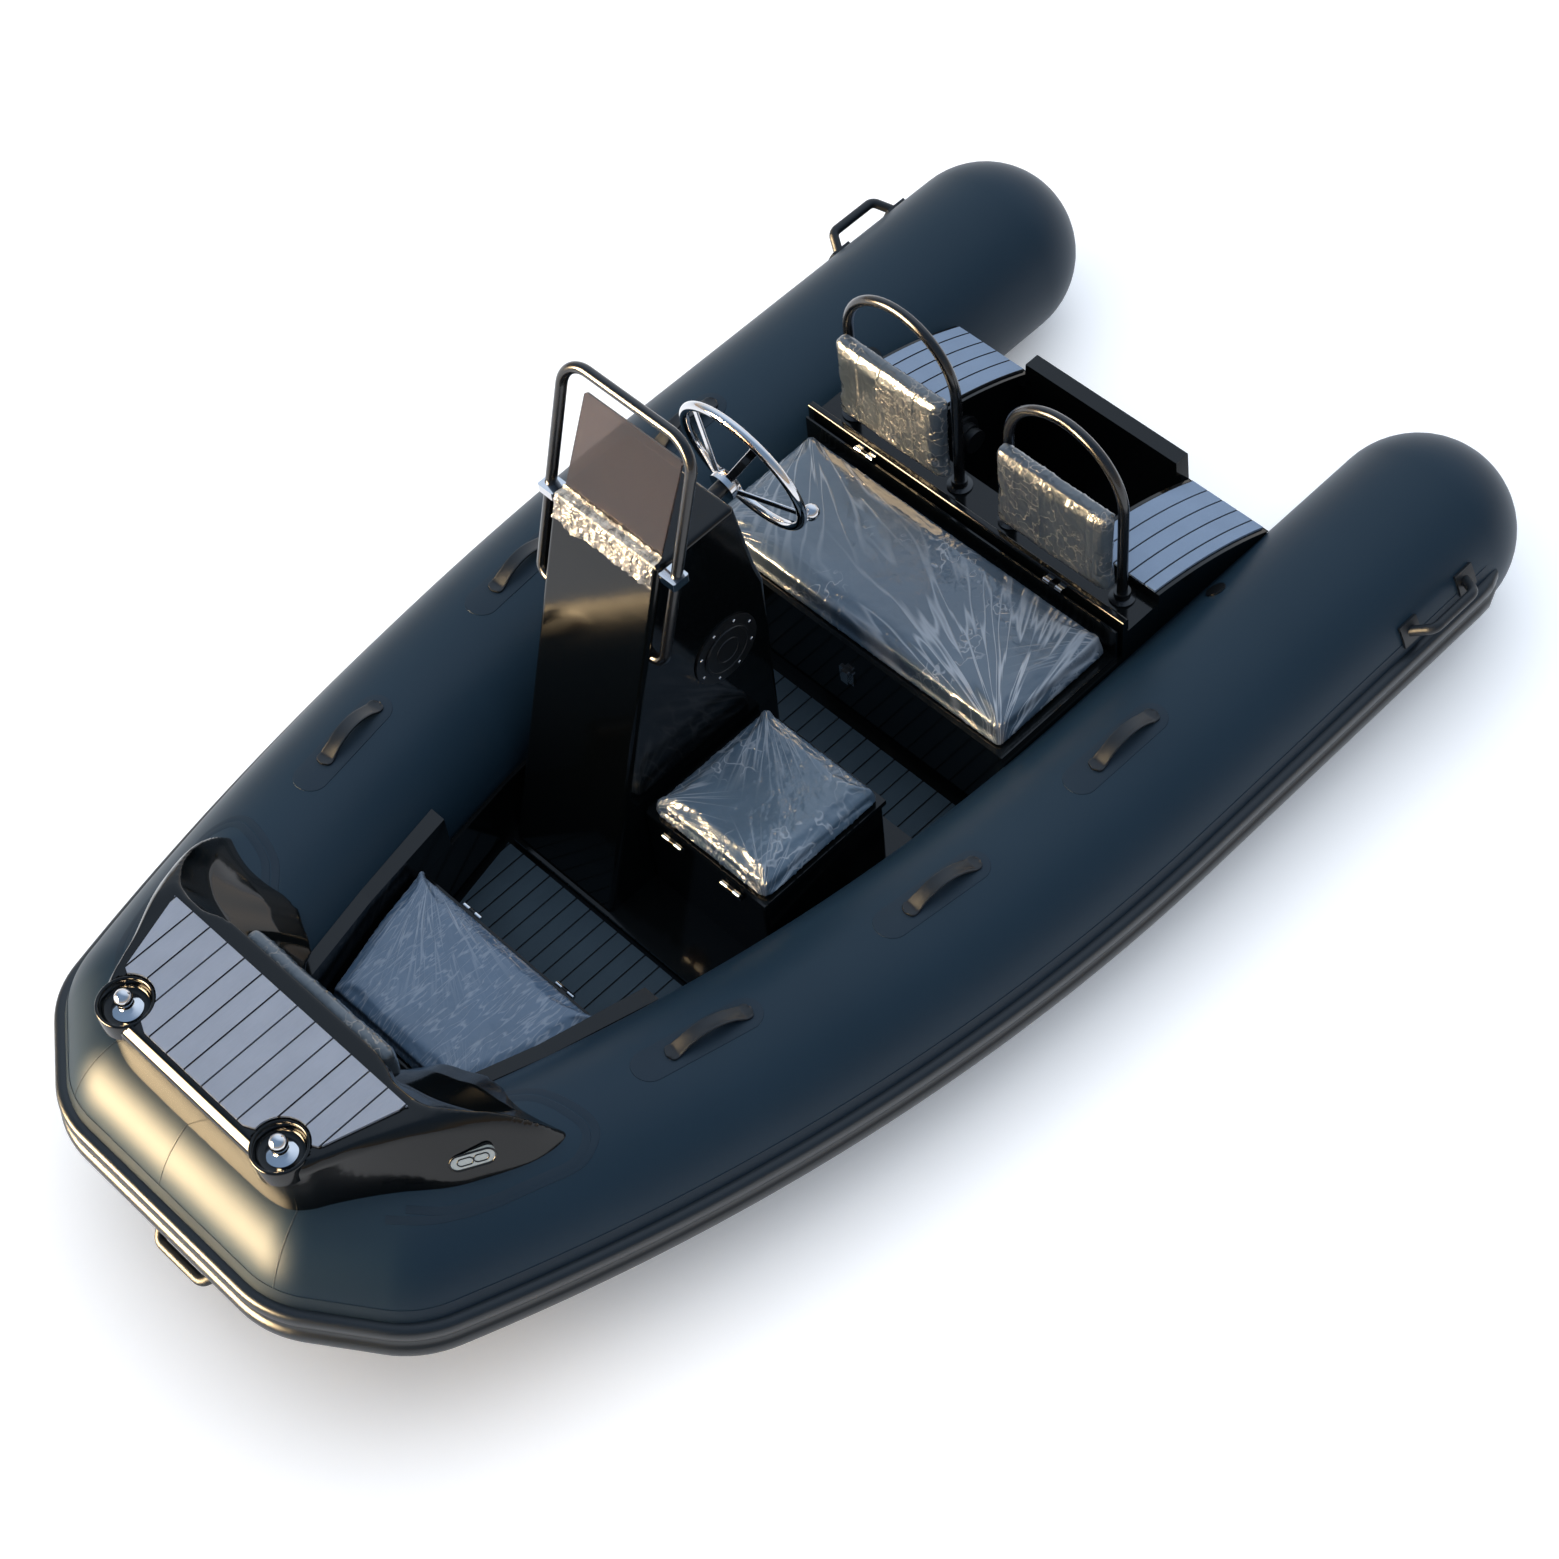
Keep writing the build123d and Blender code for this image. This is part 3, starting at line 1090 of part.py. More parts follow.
save("bench_latch", bench_latch())
save("rigging_boot", rigging_boot())
save("bow_eye", bow_eye())
save("tube_valves", *valves())
light = navigation_light(0)
save("navigation_lights", light, mirrored(light))
save("console", console())
save("windscreen", screen_plate(SCREEN_THICKNESS, SCREEN_SLOT - SEAT_GAP))
save("grab_rail", grab_rail())
save("rail_brackets", *rail_brackets())
save("steering_wheel", steering_wheel())
save("helm", helm())
save("round_hatch", round_hatch())
plinth_outline = [(PLINTH_AFT_X, CONSOLE_STARBOARD_Y), (PLINTH_FRONT_X, CONSOLE_STARBOARD_Y),
                  (PLINTH_FRONT_X, PLINTH_PORT_Y - 50), (BOX_FRONT_X + 20, BOX_PORT_Y), (PLINTH_AFT_X, PLINTH_PORT_Y)]
save("console_plinth", flat(plinth_outline, DECK_Z, PLINTH_TOP_Z))
save("seat_box", open_box(BOX_AFT_X, BOX_FRONT_X, CONSOLE_PORT_Y + 0.3, BOX_PORT_Y, PLINTH_TOP_Z, BOX_LID_Z,
                          BOX_WALL, LOCKER_RIM))
box_lid_y0 = CONSOLE_PORT_Y + HATCH_PROUD + SIDE_CLEARANCE
quarter = (BOX_PORT_Y - box_lid_y0) / 4
box_places = (box_lid_y0 + quarter, BOX_PORT_Y - quarter)
box_fixed, box_moving = edge_hinges(BOX_FRONT_X, BOX_LID_Z, 1, box_places)
save("seat_box_hinges", *box_fixed)
lid = block(BOX_AFT_X - 4, BOX_FRONT_X + 4, box_lid_y0, BOX_PORT_Y + 4, BOX_LID_Z + LID_GAP,
            BOX_LID_Z + LID_GAP + LID_THICKNESS)
save("seat_box_lid", lid + box_moving[0] + box_moving[1])
box_cushion_low = BOX_LID_Z + LID_GAP + LID_THICKNESS + 0.3
save("seat_box_cushion", soft_block(BOX_AFT_X + 2, BOX_FRONT_X - 4, box_lid_y0 + 6, BOX_PORT_Y, box_cushion_low,
                                    BOX_CUSHION_Z))
save("bow_locker", bow_locker())
bow_places = (-0.5 * inside_half_width(BOW_SEAT_AFT_X), 0.5 * inside_half_width(BOW_SEAT_AFT_X))
bow_fixed, bow_moving = edge_hinges(BOW_SEAT_AFT_X, BOW_LID_Z, -1, bow_places)
save("bow_lid_hinges", *bow_fixed)
save("bow_lid", bow_lid(bow_moving))
save("bow_cushion", bow_cushion())
port_coaming = coaming()
save("bow_coamings", port_coaming, mirrored(port_coaming))
save("bow_step", bow_step())
save("bow_pad", bow_pad())
save("bow_bitts", bitt(), mirrored(bitt()))
save("bow_backrest", soft_block(BOW_LOCKER_FRONT_X - BOW_BACK_THICKNESS, BOW_LOCKER_FRONT_X + 1.7,
                                -BOW_BACK_HALF_WIDTH, BOW_BACK_HALF_WIDTH, BOW_BACK_BOTTOM_Z, BOW_BACK_TOP_Z, 12))
save("bench_cushion", soft_block(BENCH_PIVOT_X + 5, BENCH_FRONT_X - 8, -CUSHION_HALF_WIDTH, CUSHION_HALF_WIDTH,
                                 BENCH_LID_Z + LID_GAP + LID_THICKNESS + 0.3, BENCH_CUSHION_Z))
backrest = soft_block(BACKREST_X - BACKREST_THICKNESS, BACKREST_X, BACKREST_INNER_Y, BACKREST_OUTER_Y,
                      BACKREST_BOTTOM_Z, BACKREST_TOP_Z, BACKREST_ROUND)
save("backrest_port", backrest)
save("backrest_starboard", mirrored(backrest))
save("backrest_hoop_port", hoop())
save("backrest_hoop_starboard", mirrored(hoop()))
save("hoop_sockets", *[socket(y) for y in (HOOP_INNER_Y, HOOP_OUTER_Y, -HOOP_INNER_Y, -HOOP_OUTER_Y)])
straps = [strap(x) for x in STRAP_STATIONS]
save("grab_straps_port", *straps)
save("grab_straps_starboard", *[mirrored(piece) for piece in straps])
save("stern_handles", stern_handle(), mirrored(stern_handle()))
save("bow_handle", bow_handle())
footwell_pad = [(BENCH_FRONT_X + 20, -FOOTWELL_PAD_HALF), (PLINTH_AFT_X - 7, -FOOTWELL_PAD_HALF),
                (PLINTH_AFT_X - 7, FOOTWELL_PAD_HALF), (BENCH_FRONT_X + 20, FOOTWELL_PAD_HALF)]
forward_pad = locker_outline(PLINTH_FRONT_X + 6, BOW_SEAT_AFT_X - 24, PAD_MARGIN)
save("floor_pads", planked(footwell_pad, DECK_Z, PLANK_WIDTH), planked(forward_pad, DECK_Z, PLANK_WIDTH))
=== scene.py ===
"""Looks of a small rigid inflatable boat, built around its fixed frame.

Sizes in the code are millimetres, drawn from the transom's aft face, the centreline and the waterline.
Most of them are the frame's own, and the rest were measured on the photograph.
"""

import logging
import math
from dataclasses import dataclass
from enum import Enum
from typing import Iterable, Sequence

import bmesh
import bpy
from mathutils import Matrix, Vector, noise


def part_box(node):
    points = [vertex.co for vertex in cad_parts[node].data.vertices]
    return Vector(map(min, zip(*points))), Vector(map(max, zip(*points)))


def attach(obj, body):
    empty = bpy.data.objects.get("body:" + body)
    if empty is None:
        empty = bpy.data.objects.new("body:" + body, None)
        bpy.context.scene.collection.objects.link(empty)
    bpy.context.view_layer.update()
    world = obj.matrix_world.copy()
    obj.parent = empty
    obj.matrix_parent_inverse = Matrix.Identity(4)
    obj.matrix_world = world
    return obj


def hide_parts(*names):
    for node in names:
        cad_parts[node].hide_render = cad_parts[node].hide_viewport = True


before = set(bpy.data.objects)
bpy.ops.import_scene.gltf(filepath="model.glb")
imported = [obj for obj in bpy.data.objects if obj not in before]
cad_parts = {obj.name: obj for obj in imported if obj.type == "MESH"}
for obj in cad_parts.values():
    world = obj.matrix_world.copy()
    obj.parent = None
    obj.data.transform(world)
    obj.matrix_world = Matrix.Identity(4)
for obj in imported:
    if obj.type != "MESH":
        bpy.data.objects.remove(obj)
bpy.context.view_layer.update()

log = logging.getLogger("boat")
logging.basicConfig(level=logging.INFO, format="%(name)s: %(message)s")

# A millimetre in metres, and how far ahead of the transom's aft face the frame's origin is
MM = 0.001
MIDSHIP = 1.150
AHEAD = Vector((1, 0, 0))
PORT = Vector((0, 1, 0))
UPWARD = Vector((0, 0, 1))
# Numbers of the Mix node's colour sockets, which have the same names as its other ones
MIX_FACTOR, MIX_LOW, MIX_HIGH, MIX_COLOUR = 0, 6, 7, 2

Point = tuple[float, float, float]
Tree = bpy.types.NodeTree
Node = bpy.types.Node
Socket = bpy.types.NodeSocket
Piece = bpy.types.Object


def at(x: float, y: float, z: float) -> Vector:
    """A point drawn in millimetres, in the frame's metres from amidships."""
    return Vector((x * MM - MIDSHIP, y * MM, z * MM))


def srgb(code: str) -> tuple[float, float, float, float]:
    """Linear colour of an sRGB hex value.

    Args:
        code: the colour as "#rrggbb".

    Returns:
        Red, green, blue and an alpha of 1.
    """
    parts = [int(code[i:i + 2], 16) / 255 for i in (1, 3, 5)]
    linear = [c / 12.92 if c <= 0.04045 else ((c + 0.055) / 1.055) ** 2.4 for c in parts]
    return (*linear, 1.0)


def add_node(tree: Tree, kind: str, settings: dict | None = None,
             links: dict | None = None) -> Node:
    """Adds a node with its settings and links.

    Args:
        tree: the material's or world's node tree.
        kind: the node's type, without its ShaderNode prefix.
        settings: values by socket name, socket number or property name.
        links: output sockets by the input socket that they feed.

    Returns:
        The new node.
    """
    node = tree.nodes.new("ShaderNode" + kind)
    for key, value in (settings or {}).items():
        if isinstance(key, int) or key in node.inputs:
            node.inputs[key].default_value = value
        else:
            setattr(node, key, value)
    for key, source in (links or {}).items():
        tree.links.new(source, node.inputs[key])
    return node


class Coat(Enum):
    """Whether a surface has a clear glossy layer over its colour."""

    NONE = 0.0
    THIN = 0.3
    FULL = 1.0


class Side(Enum):
    """A side of the boat, as the sign of its Y."""

    PORT = 1
    STARBOARD = -1


@dataclass(frozen=True)
class Finish:
    """A surface: what the thing is made of and how its surface was made.

    The grain is a fine relief: grain_mm is the size of its bumps and relief_mm their height. The swell is
    a slow unevenness of the surface, swell_mm high, as wide as the mottle. The mottle is a slow change of
    colour and gloss, mottle_mm across.
    """

    name: str
    colour: str
    roughness: float
    metallic: float = 0.0
    ior: float = 1.5
    coat: Coat = Coat.NONE
    grain_mm: float = 3.0
    relief_mm: float = 0.05
    stretch: Point = (1.0, 1.0, 1.0)
    swell_mm: float = 0.0
    mottle_mm: float = 150.0
    mottle: float = 0.12
    transmission: float = 0.0

    def material(self) -> bpy.types.Material:
        """The finish's material, made once."""
        made = bpy.data.materials.get(self.name)
        return made if made else self.make()

    def make(self) -> bpy.types.Material:
        """Builds the material's nodes.

        Returns:
            The new material.
        """
        made = bpy.data.materials.new(self.name)
        made.use_nodes = True
        tree = made.node_tree
        tree.nodes.clear()
        place = add_node(tree, "TexCoord").outputs["Object"]
        shader = add_node(tree, "BsdfPrincipled", {
            "Base Color": srgb(self.colour), "Roughness": self.roughness, "Metallic": self.metallic,
            "Coat Weight": self.coat.value, "Coat Roughness": 0.03, "Transmission Weight": self.transmission,
        })
        if not self.metallic:
            shader.inputs["IOR"].default_value = self.ior
        self.paint(tree, place, shader)
        self.emboss(tree, place, shader)
        add_node(tree, "OutputMaterial", links={"Surface": shader.outputs["BSDF"]})
        return made

    def tone(self, factor: float) -> tuple[float, ...]:
        """The finish's colour, made darker or paler by a factor."""
        return tuple(min(1.0, c * factor) for c in srgb(self.colour)[:3]) + (1.0,)

    def mottling(self, tree: Tree, place: Socket) -> Socket:
        """How far the slow change has gone at a place, from 0 to 1."""
        scale = 1 / (self.mottle_mm * MM)
        return add_node(tree, "TexNoise", {"Scale": scale, "Detail": 4.0}, {"Vector": place}).outputs["Fac"]

    def grain(self, tree: Tree, place: Socket, detail: float = 3.0) -> Socket:
        """The height of the fine relief at a place, from 0 to 1.

        Args:
            tree: the material's node tree.
            place: where on the object the surface is.
            detail: how many finer layers the grain has.

        Returns:
            The height's socket.
        """
        spread = add_node(tree, "Mapping", {"Scale": self.stretch}, {"Vector": place})
        fine = add_node(tree, "TexNoise", {"Scale": 1 / (self.grain_mm * MM), "Detail": detail},
                        {"Vector": spread.outputs["Vector"]})
        return fine.outputs["Fac"]

    def shade(self, tree: Tree, share: Socket) -> Socket:
        """The colour between the finish's darkest and palest tones.

        Args:
            tree: the material's node tree.
            share: how pale the surface is, from 0 to 1.

        Returns:
            The colour's socket.
        """
        mix = add_node(tree, "Mix", {
            "data_type": "RGBA", MIX_LOW: self.tone(1 - self.mottle), MIX_HIGH: self.tone(1 + self.mottle),
        }, {MIX_FACTOR: share})
        return mix.outputs[MIX_COLOUR]

    def paint(self, tree: Tree, place: Socket, shader: Node) -> None:
        """Varies the colour and the gloss slowly over the surface.

        Args:
            tree: the material's node tree.
            place: where on the object the surface is.
            shader: the material's surface shader.
        """
        slow = self.mottling(tree, place)
        tree.links.new(self.shade(tree, slow), shader.inputs["Base Color"])
        gloss = add_node(tree, "MapRange", {
            "To Min": self.roughness * (1 - self.mottle), "To Max": self.roughness * (1 + self.mottle),
        }, {"Value": slow})
        tree.links.new(gloss.outputs["Result"], shader.inputs["Roughness"])

    def emboss(self, tree: Tree, place: Socket, shader: Node) -> None:
        """Gives the surface its fine relief, and its swell where it has one.

        Args:
            tree: the material's node tree.
            place: where on the object the surface is.
            shader: the material's surface shader.
        """
        bump = add_node(tree, "Bump", {"Strength": 1.0, "Distance": self.relief_mm * MM},
                        {"Height": self.grain(tree, place)})
        if self.swell_mm:
            # a little finer than the mottle, so that the two don't lie on each other
            slow = add_node(tree, "TexNoise", {"Scale": 1.4 / (self.mottle_mm * MM), "Detail": 1.0},
                            {"Vector": place})
            bump = add_node(tree, "Bump", {"Strength": 1.0, "Distance": self.swell_mm * MM},
                            {"Height": slow.outputs["Fac"], "Normal": bump.outputs["Normal"]})
        tree.links.new(bump.outputs["Normal"], shader.inputs["Normal"])


@dataclass(frozen=True)
class Planks(Finish):
    """Foam decking: planks side by side with dark grooves between them, alike on both sides of the boat.

    The pitch is a plank with its groove, and the first plank's middle is first_mm from the centreline.
    """

    roughness: float = 0.85
    grain_mm: float = 2.4
    relief_mm: float = 0.3
    stretch: Point = (0.12, 1, 1)
    mottle: float = 0.07
    pitch_mm: float = 44.0
    first_mm: float = 22.0
    groove_mm: float = 4.0
    groove_colour: str = "#0b0e12"

    def paint(self, tree: Tree, place: Socket, shader: Node) -> None:
        """Paints the planks with faint streaks along them, and the grooves dark.

        Args:
            tree: the material's node tree.
            place: where on the object the surface is.
            shader: the material's surface shader.
        """
        half = self.pitch_mm / 2
        across = add_node(tree, "SeparateXYZ", links={0: place}).outputs["Y"]
        beyond = add_node(tree, "Math", {"operation": "ABSOLUTE"}, {0: across})
        shift = add_node(tree, "Math", {"operation": "SUBTRACT", 1: (self.first_mm - half) * MM},
                         {0: beyond.outputs[0]})
        in_plank = add_node(tree, "Math", {"operation": "PINGPONG", 1: half * MM}, {0: shift.outputs[0]})
        edge = add_node(tree, "Math", {"operation": "GREATER_THAN", 1: (half - self.groove_mm / 2) * MM},
                        {0: in_plank.outputs[0]})
        # the streaks count half as much as the slow change, and their sum is spread over the two tones
        both = add_node(tree, "Math", {"operation": "MULTIPLY_ADD", 1: 0.5},
                        {0: self.grain(tree, place, detail=4.0), 2: self.mottling(tree, place)})
        share = add_node(tree, "MapRange", {"From Min": 0.45, "From Max": 1.05}, {"Value": both.outputs[0]})
        colour = add_node(tree, "Mix", {"data_type": "RGBA", MIX_HIGH: srgb(self.groove_colour)},
                          {MIX_FACTOR: edge.outputs[0], MIX_LOW: self.shade(tree, share.outputs["Result"])})
        tree.links.new(colour.outputs[MIX_COLOUR], shader.inputs["Base Color"])


@dataclass(frozen=True)
class Pull:
    """A corner that a film's creases fan out from.

    The place is in millimetres, reach is how far the creases run, rays how many there are in a radian, and
    strength how high they stand and how pale they are painted, partly as the film's whitening and partly as
    painted glints, from 0 to 1.
    """

    x: float
    y: float
    reach: float
    rays: float = 9.0
    strength: float = 1.0


@dataclass(frozen=True)
class WrappedVinyl(Finish):
    """Upholstery vinyl under tight clear film: creases fan out from the corners and crumple in patches.

    Sizes in millimetres are across one crumple, patch, warp, pleat or billow, or along one wander of a
    fanned crease. A width is the share of the noise's height that a crease takes up. Crumpled is how much
    of the film crumples, and pleats, crumple_strength and the share of the pale crease colour are strengths
    from 0 to 1. The creases are painted in that pale colour: partly the film's own whitening, partly painted
    glints.
    """

    roughness: float = 0.5
    coat: Coat = Coat.FULL
    grain_mm: float = 2.2
    relief_mm: float = 0.2
    pulls: tuple[Pull, ...] = ()
    wander_mm: float = 312.5
    fan_width: float = 0.05
    crumple_mm: float = 34.0
    crumple_width: float = 0.035
    crumple_strength: float = 0.6
    crumpled: float = 0.45
    patch_mm: float = 1000 / 6.5
    warp_mm: float = 1000 / 9
    warp_reach_mm: float = 20.0
    pleats: float = 0.0
    pleat_mm: float = 13.0
    pleat_width: float = 0.05
    pleat_slant_deg: float = -28.0
    pleat_stretch: Point = (0.16, 1.0, 0.3)
    # the pale colour that the creases are painted, and how much: partly the film's whitening, partly painted
    # glints
    crease_white_and_glint: str = "#b4bcc6"
    crease_white_and_glint_share: float = 0.55
    crease_mm: float = 2.2
    billow_mm: float = 60.0
    billow_rise_mm: float = 5.0

    def ridge(self, tree: Tree, vector: Socket, scale: float, width: float) -> Socket:
        """Thin ridges where a noise crosses its middle value.

        Args:
            tree: the material's node tree.
            vector: where the noise is read.
            scale: how many folds of the noise there are in a unit of the vector.
            width: the share of the noise's height that a ridge takes up.

        Returns:
            The ridges' height, from 0 to 1.
        """
        fold = add_node(tree, "TexNoise", {"Scale": scale, "Detail": 1.6, "Roughness": 0.5},
                        {"Vector": vector})
        centred = add_node(tree, "Math", {"operation": "SUBTRACT", 1: 0.5}, {0: fold.outputs["Fac"]})
        off = add_node(tree, "Math", {"operation": "ABSOLUTE"}, {0: centred.outputs[0]})
        crest = add_node(tree, "MapRange", {
            "interpolation_type": "SMOOTHSTEP", "From Max": width, "To Min": 1.0, "To Max": 0.0,
        }, {"Value": off.outputs[0]})
        return crest.outputs["Result"]

    def fan(self, tree: Tree, place: Socket, pull: Pull) -> Socket:
        """Creases that fan out from one corner and fade with distance.

        Args:
            tree: the material's node tree.
            place: where on the object the surface is.
            pull: the corner.

        Returns:
            The creases' height, from 0 to 1.
        """
        corner = (pull.x * MM - MIDSHIP, pull.y * MM, 0)
        away = add_node(tree, "VectorMath", {"operation": "SUBTRACT", 1: corner}, {0: place})
        flat = add_node(tree, "VectorMath", {"operation": "MULTIPLY", 1: (1, 1, 0)}, {0: away.outputs[0]})
        far = add_node(tree, "VectorMath", {"operation": "LENGTH"}, {0: flat.outputs[0]}).outputs["Value"]
        parts = add_node(tree, "SeparateXYZ", links={0: flat.outputs[0]})
        turn = add_node(tree, "Math", {"operation": "ARCTAN2"},
                        {0: parts.outputs["Y"], 1: parts.outputs["X"]})
        spoke = add_node(tree, "Math", {"operation": "MULTIPLY", 1: pull.rays}, {0: turn.outputs[0]})
        along = add_node(tree, "Math", {"operation": "MULTIPLY", 1: 1 / (self.wander_mm * MM)}, {0: far})
        # the corner's own x sets each fan apart in the noise
        polar = add_node(tree, "CombineXYZ", {"Z": pull.x}, {"X": spoke.outputs[0], "Y": along.outputs[0]})
        ridge = self.ridge(tree, polar.outputs[0], 1.0, self.fan_width)
        fade = add_node(tree, "MapRange", {
            "interpolation_type": "SMOOTHSTEP", "From Max": pull.reach * MM, "To Min": pull.strength,
            "To Max": 0.0,
        }, {"Value": far})
        faded = add_node(tree, "Math", {"operation": "MULTIPLY"}, {0: ridge, 1: fade.outputs["Result"]})
        return faded.outputs[0]

    def crumples(self, tree: Tree, place: Socket, bent: Socket) -> Socket:
        """Crumples that show in patches.

        Args:
            tree: the material's node tree.
            place: where on the object the surface is.
            bent: the same place, warped.

        Returns:
            The crumples' height, from 0 to 1.
        """
        rarest, spread, soft = 0.68, 0.36, 0.16
        edge = rarest - spread * self.crumpled
        crumple = self.ridge(tree, bent, 1 / (self.crumple_mm * MM), self.crumple_width)
        patches = add_node(tree, "TexNoise", {"Scale": 1 / (self.patch_mm * MM), "Detail": 1.0},
                           {"Vector": place})
        mask = add_node(tree, "MapRange", {
            "interpolation_type": "SMOOTHSTEP", "From Min": edge, "From Max": edge + soft,
        }, {"Value": patches.outputs["Fac"]})
        patchy = add_node(tree, "Math", {"operation": "MULTIPLY"}, {0: crumple, 1: mask.outputs["Result"]})
        total = add_node(tree, "Math", {"operation": "MULTIPLY", 1: self.crumple_strength},
                         {0: patchy.outputs[0]})
        return total.outputs[0]

    def creases(self, tree: Tree, place: Socket) -> Socket:
        """All the film's creases: the crumpled patches, the slanted pleats and the fans.

        Args:
            tree: the material's node tree.
            place: where on the object the surface is.

        Returns:
            The creases' height.
        """
        warp = add_node(tree, "TexNoise", {"Scale": 1 / (self.warp_mm * MM), "Detail": 2.0},
                        {"Vector": place})
        bent = add_node(tree, "VectorMath", {"operation": "MULTIPLY_ADD", 1: (self.warp_reach_mm * MM,) * 3},
                        {0: warp.outputs["Color"], 2: place}).outputs[0]
        total = self.crumples(tree, place, bent)
        if self.pleats:
            slant = add_node(tree, "Mapping", {
                "Rotation": (0, 0, math.radians(self.pleat_slant_deg)), "Scale": self.pleat_stretch,
            }, {"Vector": bent})
            fine = self.ridge(tree, slant.outputs["Vector"], 1 / (self.pleat_mm * MM), self.pleat_width)
            total = add_node(tree, "Math", {"operation": "MULTIPLY_ADD", 1: self.pleats},
                             {0: fine, 2: total}).outputs[0]
        for pull in self.pulls:
            total = add_node(tree, "Math", {"operation": "MAXIMUM"},
                             {0: self.fan(tree, place, pull), 1: total}).outputs[0]
        return total

    def paint(self, tree: Tree, place: Socket, shader: Node) -> None:
        """Paints the vinyl, with the creases painted pale: partly the film's own whitening, partly painted
        glints.

        Args:
            tree: the material's node tree.
            place: where on the object the surface is.
            shader: the material's surface shader.
        """
        vinyl = self.shade(tree, self.mottling(tree, place))
        # painted glints: the creases are mixed towards a pale colour, together with the film's whitening
        whitening_and_glint = add_node(tree, "Math", {"operation": "MULTIPLY", 1: self.crease_white_and_glint_share},
                         {0: self.creases(tree, place)})
        colour = add_node(tree, "Mix", {"data_type": "RGBA", MIX_HIGH: srgb(self.crease_white_and_glint)},
                          {MIX_FACTOR: whitening_and_glint.outputs[0], MIX_LOW: vinyl})
        tree.links.new(colour.outputs[MIX_COLOUR], shader.inputs["Base Color"])

    def emboss(self, tree: Tree, place: Socket, shader: Node) -> None:
        """Grains the vinyl, and raises the film's billows and creases in the clear layer alone.

        Args:
            tree: the material's node tree.
            place: where on the object the surface is.
            shader: the material's surface shader.
        """
        super().emboss(tree, place, shader)
        swell = add_node(tree, "TexNoise", {"Scale": 1 / (self.billow_mm * MM), "Detail": 3.0},
                         {"Vector": place})
        wavy = add_node(tree, "Bump", {"Strength": 1.0, "Distance": self.billow_rise_mm * MM},
                        {"Height": swell.outputs["Fac"]})
        film = add_node(tree, "Bump", {"Strength": 1.0, "Distance": self.crease_mm * MM},
                        {"Height": self.creases(tree, place), "Normal": wavy.outputs["Normal"]})
        tree.links.new(film.outputs["Normal"], shader.inputs["Coat Normal"])


@dataclass(frozen=True)
class LooseFilm(Finish):
    """Loose clear packing film, crumpled: half clear, and painted more opaque and pale along its folds,
    partly as the film's whitening and partly as painted glints.

    Clear and the fold share are how much the film hides on its flats and along its folds, from 0 to 1.
    """

    clear: float = 0.22
    fold_white_and_glint: float = 0.72

    def emboss(self, tree: Tree, place: Socket, shader: Node) -> None:
        """Crumples the film, and makes it less clear along the folds, which paints them pale as whitening and
        glints.

        Args:
            tree: the material's node tree.
            place: where on the object the surface is.
            shader: the material's surface shader.
        """
        fold = self.grain(tree, place)
        bump = add_node(tree, "Bump", {"Strength": 1.0, "Distance": self.relief_mm * MM}, {"Height": fold})
        tree.links.new(bump.outputs["Normal"], shader.inputs["Normal"])
        # painted glints: the folds hide more and show the film's pale colour, together with its whitening
        veil_and_glint = add_node(tree, "MapRange", {
            "From Min": 0.35, "From Max": 0.65, "To Min": self.clear, "To Max": self.fold_white_and_glint,
        }, {"Value": fold})
        tree.links.new(veil_and_glint.outputs["Result"], shader.inputs["Alpha"])


# Woven polyester coated with synthetic rubber: a soft broad shine, left faintly uneven by the air inside.
# Its weave is under a millimetre, and is drawn at 2.5 mm to show
TUBE_FABRIC = Finish("coated_tube_fabric", "#1a2b38", 0.4, ior=1.26, grain_mm=2.5, relief_mm=0.03,
                     swell_mm=2.0, mottle_mm=340, mottle=0.1)
# The same fabric, cut in tape and bonded over a seam: its edge shows as a fine raised line
SEAM_TAPE = Finish("bonded_seam_tape", "#182632", 0.46, ior=1.3, grain_mm=2.5, relief_mm=0.04)
# Extruded rubber: satin, with a slight unevenness from the die
STRAKE_RUBBER = Finish("extruded_strake_rubber", "#10171d", 0.36, grain_mm=6, relief_mm=0.08, mottle_mm=220)
# Compression moulded rubber: matte and slightly grained
MOULDED_RUBBER = Finish("moulded_handle_rubber", "#0c1116", 0.46, grain_mm=1.5, relief_mm=0.08)
# Black gelcoat on glass fibre, polished: it mirrors the room, a little wavy from the mould
GELCOAT = Finish("polished_black_gelcoat", "#060809", 0.1, ior=1.38, grain_mm=45, relief_mm=0.16,
                 mottle_mm=400, mottle=0.1)
# Closed cell foam, brushed along its planks: matte grey with a fine streaked nap, drawn coarser than it is
BOW_PLANKS = Planks("brushed_bow_planks", "#7f8795", mottle_mm=70, pitch_mm=54, first_mm=27)
AFT_PLANKS = Planks("brushed_aft_planks", "#73849a", mottle_mm=70, first_mm=303)
FLOOR_PLANKS = Planks("brushed_floor_planks", "#26343f", 0.8, mottle=0.1, mottle_mm=90,
                      groove_colour="#05080b")
